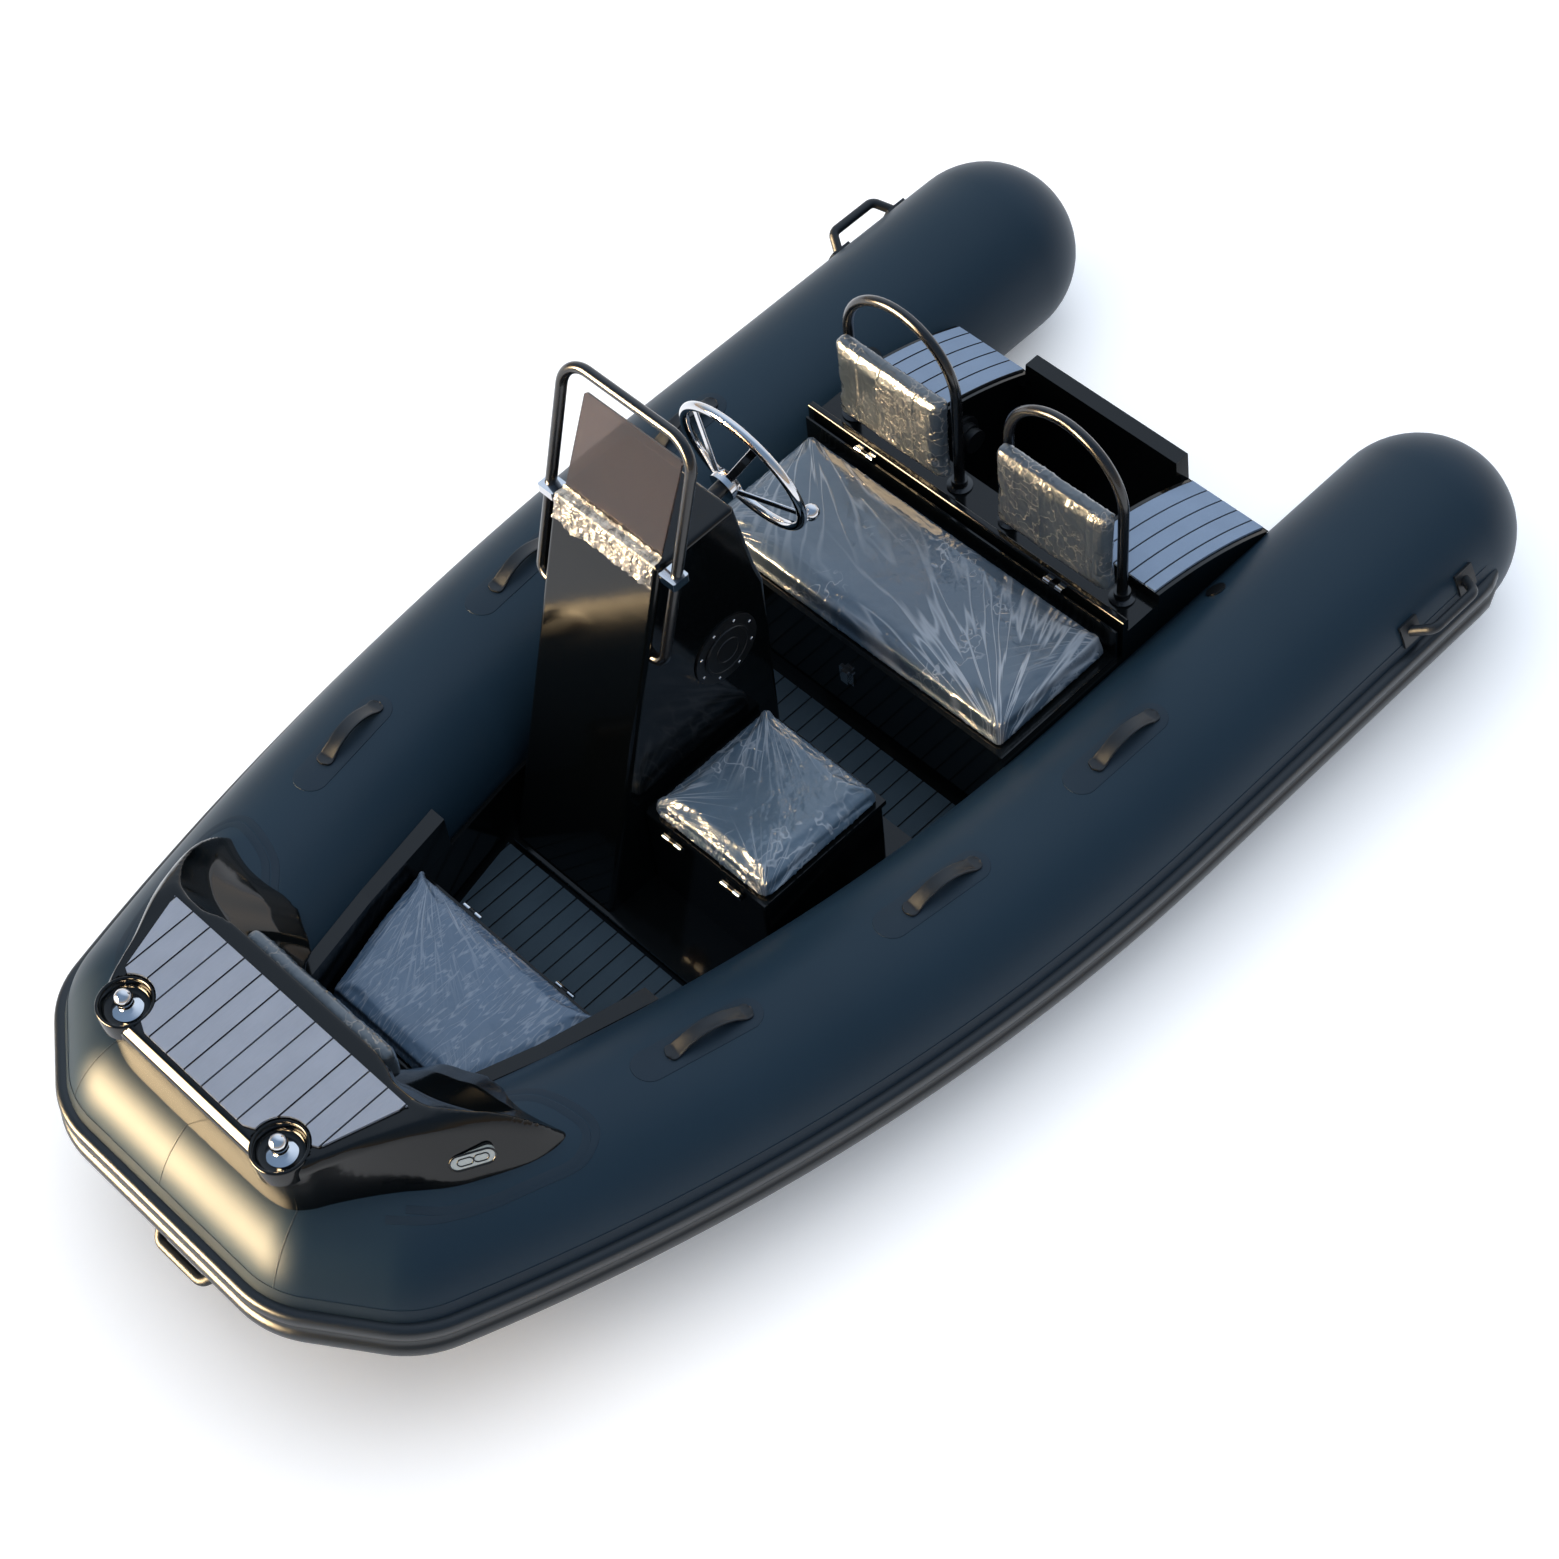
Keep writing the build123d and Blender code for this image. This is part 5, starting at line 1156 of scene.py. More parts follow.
@dataclass
class GrabStraps:
    """Moulded rubber straps arched over the tubes, each on a long oval patch.

    Each strap flares towards its feet and is rounded off at its ends, from the given shares of its half
    length. The band is its section's upper right quarter, in shares of its half width and half thickness.
    """

    stations: tuple[float, ...] = (720.0, 1260.0, 1850.0)
    steps: int = 48
    half_length: float = 101.0
    half_arch: float = 81.0
    rise: float = 28.0
    seat: float = 1.2
    fullness: float = 1.15
    width: float = 33.0
    thickness: float = 5.6
    flare: float = 0.28
    flare_from: float = 0.55
    round_from: float = 0.86
    band: tuple[tuple[float, float], ...] = (
        (1.0, 0.0), (0.97, 0.75), (0.86, 1.1), (0.7, 0.95), (0.5, 0.62), (0.0, 0.55),
    )
    patch_back: float = 122.0
    patch_ahead: float = 176.0
    patch_half_width: float = 40.0
    patch_sides: int = 56
    # how large each ring of a patch is, and how far it lies off the tube
    patch_rings: tuple[tuple[float, float], ...] = (
        (1.0, -0.6), (0.985, 1.1), (0.94, 1.3), (0.5, 1.3), (0.04, 1.3),
    )

    def build(self) -> None:
        """Makes the straps and patches of both sides."""
        straps = joined("grab_handles_port", [self.strap(x) for x in self.stations])
        other = mirrored("grab_handles_starboard", straps)
        fit(straps, MOULDED_RUBBER, replaces=("grab_straps_port",))
        fit(other, MOULDED_RUBBER, replaces=("grab_straps_starboard",))
        patches = joined("handle_patches_port", [self.patch(x) for x in self.stations])
        other = mirrored("handle_patches_starboard", patches)
        fit(patches, SEAM_TAPE)
        fit(other, SEAM_TAPE)

    def strap(self, x: float) -> Piece:
        """One strap: a flat band with thick rounded edges, arched between two feet.

        Args:
            x: its crown's station, in millimetres.

        Returns:
            The linked object.
        """
        place = LINE.at_x(x)
        crest = place.around(90, LINE.radius)
        rings = []
        for step in range(self.steps + 1):
            along = self.half_length * (2 * step / self.steps - 1)
            share = abs(along) / self.half_length
            slope = (self.height(along + 1) - self.height(along - 1)) / 2
            rise = (place.up - place.ahead * slope).normalized()
            ending = max(0.0, share - self.round_from) / (1 - self.round_from)
            spread = 1 + self.flare * max(0.0, share - self.flare_from) / (1 - self.flare_from)
            spread *= math.sqrt(max(0.02, 1 - ending ** 2))
            centre = crest + (place.ahead * along + place.up * self.height(along)) * MM
            rings.append([centre + (place.outward * w * spread + rise * h) * MM for w, h in self.section()])
        return skin(f"strap_{x:.0f}", rings)

    def height(self, along: float) -> float:
        """Height of the strap's middle above the tube at a distance from its crown.

        Args:
            along: the distance, in millimetres.

        Returns:
            The height in millimetres.
        """
        share = min(1.0, abs(along) / self.half_arch)
        return self.thickness / 2 + self.seat + self.rise * (1 - share * share) ** self.fullness

    def section(self) -> list[tuple[float, float]]:
        """Width and height of the band's outline, thicker at its edges.

        Returns:
            The outline's corners, in millimetres.
        """
        half, thick = self.width / 2, self.thickness / 2
        upper = [(half * across, thick * up) for across, up in self.band]
        top = upper + [(-w, h) for w, h in reversed(upper[:-1])]
        return top + [(w, -h) for w, h in reversed(top[1:-1])]

    def patch(self, x: float) -> Piece:
        """The long oval patch under a strap, a fabric's thickness proud of the tube.

        Args:
            x: the strap's station, in millimetres.

        Returns:
            The linked object.
        """
        shares = [side / self.patch_sides for side in range(self.patch_sides)]
        rings = [[self.on_tube(x, *self.oval(share, grow), lift) for share in shares]
                 for grow, lift in self.patch_rings]
        return skin(f"patch_{x:.0f}", rings)

    def oval(self, share: float, grow: float) -> tuple[float, float]:
        """A point of the oval's outline, ahead of and across from the strap's crown.

        Args:
            share: how far round the oval it is, from 0 to 1.
            grow: the ring's size. Near 1 the ring keeps the same margin all round, and not its proportions.

        Returns:
            Millimetres ahead and across.
        """
        half = (self.patch_back + self.patch_ahead) / 2
        flat, width = half - self.patch_half_width, self.patch_half_width
        angle = 2 * math.pi * share
        shift = flat if math.cos(angle) >= 0 else -flat
        length = grow if grow < 0.9 else 1 - (1 - grow) * width / half
        ahead = (shift + width * math.cos(angle)) * length
        return ahead + (self.patch_ahead - self.patch_back) / 2, width * math.sin(angle) * grow

    @staticmethod
    def on_tube(x: float, ahead: float, across: float, lift: float) -> Vector:
        """A point on the tube near its crest, at millimetres ahead, across and off it."""
        place = LINE.at_x(x + ahead)
        return place.around(90 - math.degrees(across / LINE.radius), LINE.radius + lift)


@dataclass
class BowStep:
    """The moulded step on the bow, with a wing each side and a dish round each bitt.

    Sink is how far a rib runs on into the tube, hollow how far its back is drawn in, and edge_share the
    most that the eased top edge takes of a face, all as shares of that face's length. A bitt's profile is
    its radius and height in millimetres, up to the ball.
    """

    back_x: float = 2370.0
    top_z: float = 719.9
    sink: float = 0.4
    hollow: float = 0.09
    voxel: float = 4.5
    rounding: int = 8
    between: int = 5
    edge: float = 17.0
    edge_share: float = 0.35
    wall_half_width: float = 254.0
    wall_thickness: float = 14.0
    wall_z: tuple[float, float] = (276.0, 690.0)
    bitt: tuple[float, float] = (2635.4, 237.4)
    dish_radius: float = 57.0
    dish_depth: float = 24.0
    dish_margin: float = 2.0
    dish_skin: float = 45.0
    dish_gap: float = 6.0
    cup_sides: int = 72
    ball_radius: float = 19.5
    ball_height: float = 38.0
    ball_from_deg: float = -58.0
    ball_to_deg: float = 89.0
    ball_steps: int = 14
    flange: tuple[tuple[float, float], ...] = (
        (2, -1), (32, -1), (33.5, 0.6), (33, 2.4), (29, 4.2), (20, 6.2), (13, 9.5), (10, 14), (9.6, 18),
    )

    # each rib, from the centreline to the wing's tip: its base, outer top, inner top and inner base edge
    ribs: tuple[tuple[Point, Point, Point, Point], ...] = (
        ((2692, 0, 556), (2682, 0, 720), (2370, 0, 720), (2370, 0, 480)),
        ((2691, 150, 557), (2682, 150, 720), (2370, 120, 720), (2370, 120, 480)),
        ((2688, 222, 558), (2681, 215, 720), (2371, 200, 720), (2358, 160, 500)),
        ((2676, 268, 560), (2668, 272, 720), (2380, 254, 720), (2331, 176, 545)),
        ((2650, 299, 564), (2634, 304, 720), (2394, 290, 720), (2305, 210, 550)),
        ((2610, 325, 566), (2590, 325, 720), (2396, 324, 720), (2281, 239, 553)),
        ((2545, 370, 565), (2530, 350, 720), (2394, 350, 720), (2265, 285, 555)),
        ((2441, 449, 548), (2440, 398, 720), (2384, 382, 720), (2250, 323, 556)),
        ((2364, 487, 536), (2372, 437, 690), (2342, 427, 704), (2238, 389, 556)),
        ((2283, 519, 524), (2304, 473, 648), (2284, 464, 662), (2222, 432, 545)),
        ((2226, 529, 520), (2240, 508, 582), (2228, 500, 590), (2206, 470, 532)),
        ((2186, 530, 510), (2192, 522, 526), (2190, 517, 527), (2186, 508, 514)),
    )

    def build(self) -> None:
        """Moulds the step in one piece, dishes it and fits it with the bitts' cups."""
        half = [self.section(rib) for rib in self.smoothed()]
        other = [[Vector((p.x, -p.y, p.z)) for p in ring] for ring in half[1:]]
        body = skin("step_body", list(reversed(other)) + half)
        thick, half_width = self.wall_thickness, self.wall_half_width
        outline = ((0, -half_width), (0, half_width), (thick, half_width), (thick, -half_width))
        wall = [[at(self.back_x + x, y, z) for x, y in outline] for z in self.wall_z]
        step = joined("moulded_bow_step", [body, skin("step_wall", wall)])
        self.mould(step)
        self.dish(step)
        fit(step, GELCOAT, replaces=("bow_step",), sharp_deg=75)
        fit(joined("bitt_cups", [self.cup(side) for side in Side]), GELCOAT)
        bitts = joined("mushroom_bitts", [self.mushroom(side) for side in Side])
        fit(bitts, POLISHED_STEEL, replaces=("bow_bitts",))

    def smoothed(self) -> list[list[Vector]]:
        """The ribs with smooth ones put in between.

        Returns:
            The ribs' corners, from the centreline.
        """
        rows = [[at(*corner) for corner in rib] for rib in self.ribs]
        dense = []
        for k in range(len(rows) - 1):
            around = [rows[max(0, k - 1)], rows[k], rows[k + 1], rows[min(len(rows) - 1, k + 2)]]
            for step in range(self.between):
                share = step / self.between
                dense.append([SeamLines.curve(*corner, share) for corner in zip(*around)])
        return dense + [rows[-1]]

    def section(self, rib: list[Vector]) -> list[Vector]:
        """A rib's closed outline, carried on below its base edges into the tubes.

        Args:
            rib: its base edge, outer top edge, inner top edge and inner base edge.

        Returns:
            The outline's corners.
        """
        base, outer, inner, foot = rib
        hollow = (inner + foot) / 2 + (base - foot).normalized() * (inner - foot).length * self.hollow
        shorter = min((inner - outer).length, (base - outer).length)
        ease = min(self.edge * MM, self.edge_share * shorter)
        below, beside = (outer + (end - outer).normalized() * ease for end in (base, inner))
        return [base + (base - outer) * self.sink, base, below, beside, inner, hollow, foot,
                foot + (foot - inner) * self.sink]

    def mould(self, step: Piece) -> None:
        """Runs the pieces together and rounds every edge, as a mould does.

        Args:
            step: the step's pieces, joined.
        """
        merge = step.modifiers.new("merge", "REMESH")
        merge.mode, merge.voxel_size = "VOXEL", self.voxel * MM
        ease = step.modifiers.new("ease", "SMOOTH")
        ease.factor, ease.iterations = 0.5, self.rounding
        apply_modifiers(step)

    def dish(self, step: Piece) -> None:
        """Pushes the top's skin down inside each bitt's cup, a gap below the cup's own floor.

        Args:
            step: the moulded step.
        """
        rim, skin_z = (self.dish_radius + self.dish_margin) * MM, (self.top_z - self.dish_skin) * MM
        floor_z = (self.top_z - self.dish_depth - self.dish_gap) * MM
        for vertex in step.data.vertices:
            spot = vertex.co
            reach = math.hypot(spot.x - self.bitt[0] * MM + MIDSHIP, abs(spot.y) - self.bitt[1] * MM)
            if reach < rim and spot.z > skin_z:
                spot.z = min(spot.z, floor_z)

    def mushroom(self, side: Side) -> Piece:
        """A bitt: a ball on a waisted neck, on a domed flange.

        Args:
            side: the bitt's side.

        Returns:
            The linked object.
        """
        profile = list(self.flange)
        for step in range(self.ball_steps + 1):
            turn = (self.ball_to_deg - self.ball_from_deg) * step / self.ball_steps
            angle = math.radians(self.ball_from_deg + turn)
            height = self.ball_height + self.ball_radius * math.sin(angle)
            profile.append((self.ball_radius * math.cos(angle), height))
        place = at(self.bitt[0], side.value * self.bitt[1], self.top_z - self.dish_depth)
        return turned(f"bitt_{side.name.lower()}", profile, place, UPWARD)

    def cup(self, side: Side) -> Piece:
        """The round cup that a bitt stands in, with a rolled lip.

        Args:
            side: the bitt's side.

        Returns:
            The linked object.
        """
        r, deep = self.dish_radius, self.dish_depth
        lip = [(r + 4, -deep - 22), (r + 4, -4), (r + 3.6, -1.2), (r + 2, 0.6), (r, 1.2), (r - 2, 0.6)]
        bowl = [(r - 4, -1.6), (r - 5.5, -6), (r - 7, -deep + 8), (r - 9, -deep + 3.5), (r - 13, -deep + 0.8),
                (r - 19, -deep), (2, -deep)]
        place = at(self.bitt[0], side.value * self.bitt[1], self.top_z)
        return turned(f"cup_{side.name.lower()}", lip + bowl, place, UPWARD, self.cup_sides)


def apply_modifiers(piece: Piece) -> None:
    """Makes what an object's modifiers give its own mesh, and takes them off.

    Args:
        piece: the object.
    """
    bpy.context.view_layer.update()
    seen = piece.evaluated_get(bpy.context.evaluated_depsgraph_get())
    mesh = bpy.data.meshes.new_from_object(seen)
    mesh.name = piece.name
    piece.modifiers.clear()
    piece.data = mesh


@dataclass(frozen=True)
class Pad:
    """A cushion of the frame: the body it rides on and its finish. Its fill is not used.

    Crumple and pleat are how high the film's folds stand all over it and along its edges, and voxel is how
    fine it is meshed, in millimetres.
    """

    node: str
    body: str
    name: str
    finish: Finish
    fill: float
    crumple: float = 1.0
    pleat: float = 1.4
    voxel: float = 6.0


@dataclass
class Cushions:
    """Vinyl cushions filled out by a cloth simulation, with the film's folds raised on them.

    A cushion starts smaller by the inset on each side, and no point of it moves farther than the cap.
    """

    frames: int = 20
    pressure: float = 3.5
    inset: float = 4.0
    cap: float = 9.0
    held_height: float = 5.0
    crumple_mm: float = 46.0
    pleat_mm: float = 9.0
    pleat_reach: float = 22.0

    pads: tuple[Pad, ...] = (
        Pad("bench_cushion", "bench_lid", "bench_seat_cushion", BENCH_WRAP, 0.7, crumple=0.8, voxel=7.0),
        Pad("seat_box_cushion", "seat_box_lid", "box_seat_cushion", BOX_WRAP, 0.7, crumple=1.6, pleat=2.4),
        Pad("bow_cushion", "bow_lid", "bow_seat_cushion", BOW_WRAP, 0.6, crumple=0.5, pleat=2.0),
        Pad("bow_backrest", "boat", "bow_back_cushion", BACK_WRAP, 0.7, crumple=1.4),
        Pad("backrest_port", "boat", "port_back_cushion", BACK_WRAP, 0.7, crumple=1.8),
        Pad("backrest_starboard", "boat", "starboard_back_cushion", BACK_WRAP, 0.7, crumple=1.8),
    )

    def build(self) -> None:
        """Fills all the cushions in one run, then raises their folds and dresses them."""
        pieces = [self.blank(pad) for pad in self.pads]
        starts = [[v.co.copy() for v in piece.data.vertices] for piece in pieces]
        self.inflate(pieces)
        for pad, piece, start in zip(self.pads, pieces, starts):
            self.settle(piece, start)
            self.fold(pad, piece)
            fit(piece, pad.finish, pad.body, replaces=(pad.node,), sharp_deg=80)

    def blank(self, pad: Pad) -> Piece:
        """An evenly meshed copy of a cushion, a little smaller than it will be.

        Args:
            pad: the cushion.

        Returns:
            The linked object.
        """
        low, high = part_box(pad.node)
        middle = (low + high) / 2
        piece = bpy.data.objects.new(pad.name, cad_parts[pad.node].data.copy())
        bpy.context.scene.collection.objects.link(piece)
        shrink = [1 - 2 * self.inset * MM / (b - a) for a, b in zip(low, high)]
        for vertex in piece.data.vertices:
            vertex.co = middle + Vector([(c - m) * s for c, m, s in zip(vertex.co, middle, shrink)])
        mesh = piece.modifiers.new("even", "REMESH")
        mesh.mode, mesh.voxel_size = "VOXEL", pad.voxel * MM
        apply_modifiers(piece)
        return piece

    def inflate(self, pieces: Iterable[Piece]) -> None:
        """Fills the cushions with air, as cloth held at its base, for a few frames.

        Args:
            pieces: the cushions' meshes.
        """
        scene = bpy.context.scene
        for piece in pieces:
            base = min(v.co.z for v in piece.data.vertices)
            held = piece.vertex_groups.new(name="base")
            low = [v.index for v in piece.data.vertices if v.co.z < base + self.held_height * MM]
            held.add(low, 1.0, "REPLACE")
            cloth = piece.modifiers.new("cloth", "CLOTH")
            cloth.settings.quality = 4
            cloth.settings.vertex_group_mass = "base"
            cloth.settings.use_pressure = True
            cloth.settings.uniform_pressure_force = self.pressure
            cloth.settings.effector_weights.gravity = 0.0
            cloth.point_cache.frame_start, cloth.point_cache.frame_end = 1, self.frames
        for step in range(1, self.frames + 1):
            scene.frame_set(step)
        log.info("cushions filled")

    def settle(self, piece: Piece, start: list[Vector]) -> None:
        """Keeps the filled shape, holds every point near where it started, and smooths once.

        Args:
            piece: the filled cushion.
            start: where its points were before it was filled.
        """
        apply_modifiers(piece)
        for vertex, before in zip(piece.data.vertices, start):
            moved = vertex.co - before
            if moved.length > self.cap * MM:
                vertex.co = before + moved.normalized() * self.cap * MM
        piece.vertex_groups.clear()
        fine = piece.modifiers.new("fine", "SUBSURF")
        fine.levels = fine.render_levels = 1
        apply_modifiers(piece)

    def fold(self, pad: Pad, piece: Piece) -> None:
        """Raises the film's crumples all over and its pleats along the edges.

        Args:
            pad: the cushion.
            piece: its mesh.
        """
        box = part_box(pad.node)
        lifted = []
        for vertex in piece.data.vertices:
            spot, out = vertex.co, vertex.normal
            height = pad.crumple * abs(noise.fractal(spot / MM / self.crumple_mm, 0.9, 2.1, 4))
            for axis, other in ((0, 1), (1, 0)):
                for side in (0, 1):
                    inside = abs(spot[axis] - box[side][axis]) / MM
                    pleat = noise.noise(Vector((spot[other] / MM / self.pleat_mm, side * 7.0, axis * 3.0)))
                    height += pad.pleat * max(0.0, pleat) * 2 * math.exp(-inside / self.pleat_reach)
            lifted.append(spot + out * height * MM)
        for vertex, place in zip(piece.data.vertices, lifted):
            vertex.co = place


@dataclass
class ScreenFilm:
    """A crumpled strip of packing film left at the screen's foot, hanging over the console's front edge.

    Foot, edge and front_foot are the x and z of the screen's foot, the ledge's edge and the front's foot.
    Folds, wrinkles and pleats are how high the three kinds of crease stand, and the sizes in millimetres
    how wide they are.
    """

    foot: tuple[float, float] = (1328.0, 1055.0)
    edge: tuple[float, float] = (1350.0, 1055.0)
    front_foot: tuple[float, float] = (1632.0, 115.0)
    middle_y: float = -165.0
    width: float = 290.0
    rake_deg: float = 23.0
    up_screen: float = 9.0
    down_front: float = 58.0
    bend: float = 10.0
    gap: float = 2.5
    folds: float = 8.0
    fold_mm: float = 26.0
    wrinkles: float = 2.5
    wrinkle_mm: float = 10.0
    pleats: float = 9.0
    pleat_mm: float = 12.0
    slant: float = 14.0
    slant_mm: float = 60.0
    columns: int = 190
    rows: int = 76

    def build(self) -> None:
        """Crumples the strip and lays it over the screen's foot, the ledge and the front."""
        points = []
        for row in range(self.rows):
            for column in range(self.columns):
                across = self.width * (column / (self.columns - 1) - 0.5)
                share = row / (self.rows - 1)
                slant = self.slant * noise.noise(Vector((across / self.slant_mm, 2.0, share))) * share
                place, out = self.path(share, slant)
                spot = place + PORT * (self.middle_y + across) * MM
                points.append(spot + out * self.lift(across, share) * MM)
        film = new_mesh("screen_foot_film", points, lattice(self.rows, self.columns, looped=False))
        fit(film, LOOSE_FILM, sharp_deg=180)

    def lift(self, across: float, share: float) -> float:
        """How far the film stands off what it lies on.

        Args:
            across: millimetres from the strip's middle.
            share: how far down the strip the place is, from 0 to 1.

        Returns:
            The height in millimetres.
        """
        spot = Vector((across, share * self.length(), 0))
        fold = self.folds * abs(noise.fractal(spot / self.fold_mm, 0.85, 2.0, 4))
        wrinkle = self.wrinkles * abs(noise.noise(spot / self.wrinkle_mm))
        ripple = noise.noise(Vector((across / self.pleat_mm, share * 1.4, 7.0)))
        return self.gap + fold + wrinkle + self.pleats * share * max(0.0, ripple)

    def length(self) -> float:
        """How long the strip is, down the screen, the ledge and the front."""
        return self.up_screen + self.edge[0] - self.foot[0] + self.down_front

    def path(self, share: float, slant: float) -> tuple[Vector, Vector]:
        """A place down the strip on the centreline plane, and the way out of the surface there.

        Args:
            share: how far down the strip the place is, from 0 to 1.
            slant: how much farther down it lies, in millimetres.

        Returns:
            The place and the outward direction.
        """
        down = share * self.length() + slant
        lean = math.radians(self.rake_deg)
        fall = Vector((self.front_foot[0] - self.edge[0], 0, self.front_foot[1] - self.edge[1])).normalized()
        ledge = self.edge[0] - self.foot[0]
        outs = [Vector((math.cos(lean), 0, math.sin(lean))), UPWARD, Vector((-fall.z, 0, fall.x))]
        past = down - self.up_screen
        if past < 0:
            climb = Vector((-math.sin(lean), 0, math.cos(lean)))
            place = at(self.foot[0], 0, self.foot[1]) + climb * -past * MM
        elif past < ledge:
            place = at(self.foot[0] + past, 0, self.foot[1])
        else:
            place = at(self.edge[0], 0, self.edge[1]) + fall * (past - ledge) * MM
        first = max(0.0, min(1.0, past / ledge))
        second = max(0.0, min(1.0, (past - ledge) / self.bend + 0.5))
        return place, outs[0].lerp(outs[1], first).lerp(outs[2], second).normalized()


@dataclass
class SmallParts:
    """The inspection plate's screws and ribs, and the loops in the navigation lights.

    A profile is radius and height. A lamp's loop is its shift along the lens, half the length of its
    straight sides, its radius and half the thickness of its wire.
    """

    hatch: Point = (1211.0, -5.7, 661.0)
    hatch_profile: tuple[tuple[float, float], ...] = (
        (62.0, 3.0), (61.0, 4.6), (57.0, 4.6), (56.0, 3.4), (34.0, 3.4), (33.0, 4.8), (30.0, 4.8),
        (29.0, 3.4), (2.0, 3.4),
    )
    screw_ring: float = 76.0
    screw_count: int = 8
    screw_sides: int = 20
    screw_profile: tuple[tuple[float, float], ...] = (
        (4.2, -0.4), (4.2, 0.6), (3.4, 1.6), (1.8, 2.2), (0.3, 2.3),
    )
    lamp: Point = (2370.4, 464.4, 599.9)
    lamp_facing: Point = (0.46, 0.83, 0.31)
    lamp_depth: float = 6.3
    lamp_loops: tuple[tuple[float, ...], ...] = ((0, 27, 19, 2.2), (-17, 6, 9, 1.3), (15, 7, 9, 1.3))
    loop_steps: int = 48
    wire_sides: int = 8

    def build(self) -> None:
        """Makes the hatch's screws and ribs, and the navigation lights' faces."""
        screws = [self.screw(step) for step in range(self.screw_count)]
        fit(joined("hatch_screws", screws), POLISHED_STEEL)
        ribs = turned("hatch_ribs", self.hatch_profile, at(*self.hatch), PORT)
        fit(ribs, MOULDED_ABS)
        faces = [self.lamp_face(side) for side in Side]
        fit(joined("lamp_inner_frames", faces), MOULDED_ABS)

    def screw(self, step: int) -> Piece:
        """One domed screw on the hatch's flange.

        Args:
            step: its number round the flange.

        Returns:
            The linked object.
        """
        angle = 2 * math.pi * (step + 0.5) / self.screw_count
        place = at(self.hatch[0] + self.screw_ring * math.cos(angle), self.hatch[1],
                   self.hatch[2] + self.screw_ring * math.sin(angle))
        return turned(f"screw_{step}", self.screw_profile, place, PORT, self.screw_sides)

    def lamp_face(self, side: Side) -> Piece:
        """The dark frame of a navigation light and the two loops behind its lens.

        Args:
            side: the light's side.

        Returns:
            The linked object.
        """
        face = joined(f"lamp_{side.name.lower()}", [self.loop(*loop) for loop in self.lamp_loops])
        if side is Side.STARBOARD:
            other = mirrored("lamp_other", face)
            bpy.data.objects.remove(face)
            return other
        return face

    def loop(self, shift: float, flat: float, radius: float, wire: float) -> Piece:
        """An oval loop of round wire on the port light's face.

        Args:
            shift: millimetres from the lens's middle.
            flat: half the length of its straight sides.
            radius: the radius of its round ends.
            wire: half the wire's thickness.

        Returns:
            The linked object.
        """
        out = Vector(self.lamp_facing).normalized()
        right = out.cross(UPWARD).normalized()
        up = right.cross(out)
        origin = at(*self.lamp) + out * self.lamp_depth * MM
        turns = [2 * math.pi * k / self.wire_sides for k in range(self.wire_sides)]
        rings = []
        for step in range(self.loop_steps + 1):
            angle = 2 * math.pi * step / self.loop_steps
            along = shift + (flat if math.cos(angle) >= 0 else -flat) + radius * math.cos(angle)
            centre = origin + (right * along + up * radius * math.sin(angle)) * MM
            radial = right * math.cos(angle) + up * math.sin(angle)
            rings.append([centre + (radial * math.cos(turn) + out * math.sin(turn)) * wire * MM
                          for turn in turns])
        return skin("loop", rings, capped=False)


@dataclass
class CarriedNodes:
    """The rigid pieces of the frame that show as they are, in better finishes."""

    sharp_deg: float = 32.0

    def build(self) -> None:
        """Dresses each node that nothing has replaced."""
        for name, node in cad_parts.items():
            if not node.hide_render:
                dress(node, NODE_FINISH[name])
                node.data.polygons.foreach_set("use_smooth", [True] * len(node.data.polygons))
                node.data.set_sharp_from_angle(angle=math.radians(self.sharp_deg))
        log.info("carried nodes dressed")


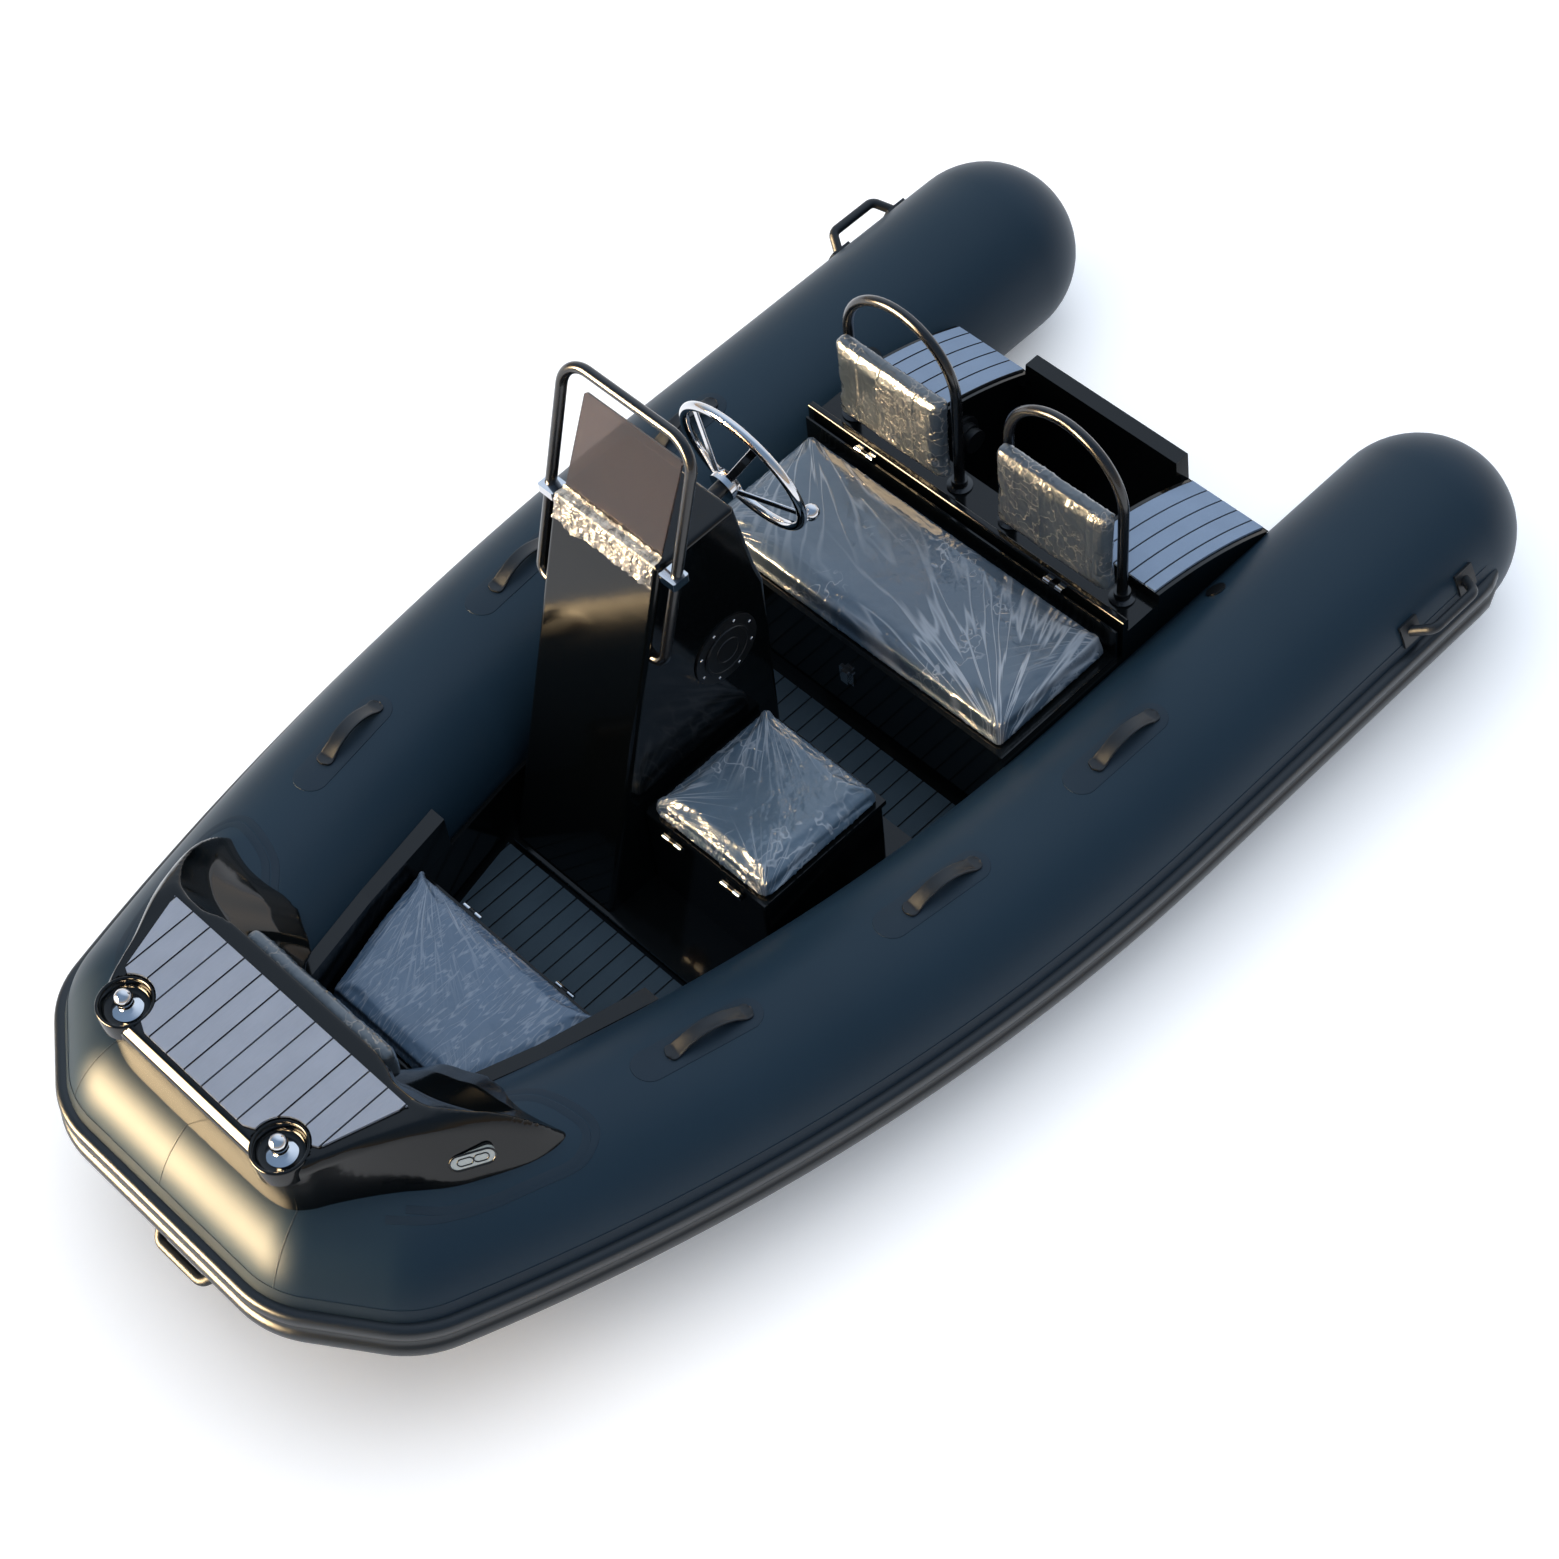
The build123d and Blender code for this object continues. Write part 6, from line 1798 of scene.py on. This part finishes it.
@dataclass
class Studio:
    """The pale floor, the soft lamp, the evening sky and the camera at the photograph's angle.

    The glow is the low sun off the bow: its strength lights the surfaces, and its shine is what they mirror.
    A glow or haze fades between two cosines of the angle from its place.
    """

    camera_place: Point = (2.6304, 3.2689, 6.0231)
    azimuth_deg: float = 50.85
    elevation_deg: float = 54.59
    roll_deg: float = -7.34
    lens_mm: float = 74.56
    sensor_mm: float = 36.0
    floor_size: float = 60.0
    floor_white: float = 0.15
    overhead_place: Point = (0.2, 0.0, 6.8)
    overhead_watts: float = 440.0
    overhead_size: float = 10.0
    glow_place: Point = (0.885, -0.449, 0.13)
    glow_fade: tuple[float, float] = (0.87, 0.98)
    glow_strength: float = 6.0
    glow_shine: float = 140.0
    haze_place: Point = (-0.75, -0.35, 0.4)
    haze_fade: tuple[float, float] = (0.3, 1.0)
    haze_strength: float = 0.9
    # height above the horizon and colour of the sky's bands
    bands: tuple[tuple[float, str], ...] = (
        (0.0, "#c9ab8a"), (0.12, "#bfb6ac"), (0.3, "#93a1b1"), (0.62, "#7f98b5"), (1.0, "#86a0c0"),
    )

    def build(self) -> None:
        """Makes everything that isn't part of the boat."""
        self.camera()
        self.floor()
        self.lamp()
        self.sky()

    def camera(self) -> None:
        """Sets the camera, turned by its azimuth, elevation and roll."""
        a, e, r = (math.radians(v) for v in (self.azimuth_deg, self.elevation_deg, self.roll_deg))
        ahead = Vector((-math.cos(a) * math.cos(e), -math.sin(a) * math.cos(e), -math.sin(e)))
        level = Vector((-math.sin(a), math.cos(a), 0.0))
        upright = level.cross(ahead)
        right = level * math.cos(r) + upright * math.sin(r)
        up = upright * math.cos(r) - level * math.sin(r)
        lens = bpy.data.cameras.new("camera")
        lens.lens, lens.sensor_width = self.lens_mm, self.sensor_mm
        lens.clip_end = 200.0
        eye = bpy.data.objects.new("camera", lens)
        turn = Matrix((right, up, -ahead)).transposed().to_4x4()
        eye.matrix_world = Matrix.Translation(self.camera_place) @ turn
        bpy.context.scene.collection.objects.link(eye)
        bpy.context.scene.camera = eye

    def floor(self) -> None:
        """Lays a pale floor at the waterline."""
        half = self.floor_size / 2
        corners = [(-half, -half, 0.0), (half, -half, 0.0), (half, half, 0.0), (-half, half, 0.0)]
        floor = new_mesh("studio_floor", corners, [(0, 1, 2, 3)], smooth=False)
        paint = Finish("pale_floor_paint", "#ffffff", 0.9, ior=1.3, relief_mm=0.0, mottle=0.0).material()
        self.brighten(paint.node_tree)
        floor.data.materials.append(paint)

    def brighten(self, tree: Tree) -> None:
        """Adds a little white to the floor as the camera, metal and glass see it; its shadows stay.

        Args:
            tree: the floor's node tree.
        """
        shader = next(node for node in tree.nodes if node.type == "BSDF_PRINCIPLED")
        path = add_node(tree, "LightPath")
        seen = add_node(tree, "Math", {"operation": "MAXIMUM"},
                        {0: path.outputs["Is Camera Ray"], 1: path.outputs["Is Glossy Ray"]})
        seen = add_node(tree, "Math", {"operation": "MAXIMUM"},
                        {0: seen.outputs[0], 1: path.outputs["Is Transmission Ray"]})
        share = add_node(tree, "Math", {"operation": "MULTIPLY", 1: self.floor_white}, {0: seen.outputs[0]})
        shader.inputs["Emission Color"].default_value = (1.0, 1.0, 1.0, 1.0)
        tree.links.new(share.outputs[0], shader.inputs["Emission Strength"])

    def lamp(self) -> None:
        """Hangs a wide soft lamp overhead, which gives plain light and no mirror image of itself."""
        lamp = bpy.data.lights.new("overhead_lamp", "AREA")
        lamp.shape, lamp.size, lamp.size_y = "RECTANGLE", self.overhead_size, self.overhead_size
        lamp.energy, lamp.color = self.overhead_watts, srgb("#fffaf2")[:3]
        holder = bpy.data.objects.new("overhead_lamp", lamp)
        holder.location = self.overhead_place
        holder.visible_glossy = False
        bpy.context.scene.collection.objects.link(holder)

    @staticmethod
    def toward(tree: Tree, way: Socket, place: Point, fade: tuple[float, float]) -> Socket:
        """How nearly a direction of the sky points to a place.

        Args:
            tree: the world's node tree.
            way: the direction.
            place: the place's direction.
            fade: the cosines between which the nearness grows.

        Returns:
            The nearness, from 0 to 1.
        """
        aim = Vector(place).normalized()
        facing = add_node(tree, "VectorMath", {"operation": "DOT_PRODUCT", 1: aim}, {0: way})
        near = add_node(tree, "MapRange", {
            "interpolation_type": "SMOOTHSTEP", "From Min": fade[0], "From Max": fade[1],
        }, {"Value": facing.outputs["Value"]})
        return near.outputs["Result"]

    def sky(self) -> None:
        """An evening sky: blue overhead, warm towards the horizon, with a golden glow off the bow."""
        world = bpy.data.worlds.new("studio")
        world.use_nodes = True
        tree = world.node_tree
        tree.nodes.clear()
        way = add_node(tree, "TexCoord").outputs["Generated"]
        height = add_node(tree, "SeparateXYZ", links={0: way}).outputs["Z"]
        gradient = add_node(tree, "ValToRGB", links={0: height})
        ramp = gradient.color_ramp
        while len(ramp.elements) < len(self.bands):
            ramp.elements.new(0.5)
        for element, (place, colour) in zip(ramp.elements, self.bands):
            element.position, element.color = place, srgb(colour)
        shine = add_node(tree, "LightPath").outputs["Is Glossy Ray"]
        level = add_node(tree, "MapRange", {"To Min": self.glow_strength, "To Max": self.glow_shine},
                         {"Value": shine})
        near = self.toward(tree, way, self.glow_place, self.glow_fade)
        strength = add_node(tree, "Math", {"operation": "MULTIPLY"}, {0: near, 1: level.outputs["Result"]})
        sunset = add_node(tree, "Background", {"Color": srgb("#ffdca8")}, {"Strength": strength.outputs[0]})
        far = self.toward(tree, way, self.haze_place, self.haze_fade)
        pale = add_node(tree, "Math", {"operation": "MULTIPLY", 1: self.haze_strength}, {0: far})
        haze = add_node(tree, "Background", {"Color": srgb("#dfe8f2")}, {"Strength": pale.outputs[0]})
        sky = add_node(tree, "Background", {"Strength": 1.0}, {"Color": gradient.outputs["Color"]})
        both = add_node(tree, "AddShader",
                        links={0: sky.outputs["Background"], 1: sunset.outputs["Background"]})
        every = add_node(tree, "AddShader",
                         links={0: both.outputs["Shader"], 1: haze.outputs["Background"]})
        add_node(tree, "OutputWorld", links={"Surface": every.outputs["Shader"]})
        bpy.context.scene.world = world
        bpy.context.scene.view_settings.view_transform = "Standard"


def main() -> None:
    """Builds the boat's looks in order."""
    Studio().build()
    parts = (AirTubes(), Strake(), SeamLines(), GrabStraps(), BowStep(), Cushions(), ScreenFilm(),
             SmallParts(), CarriedNodes())
    for part in parts:
        part.build()
        log.info("%s done", type(part).__name__)


if __name__ == "__main__":
    main()
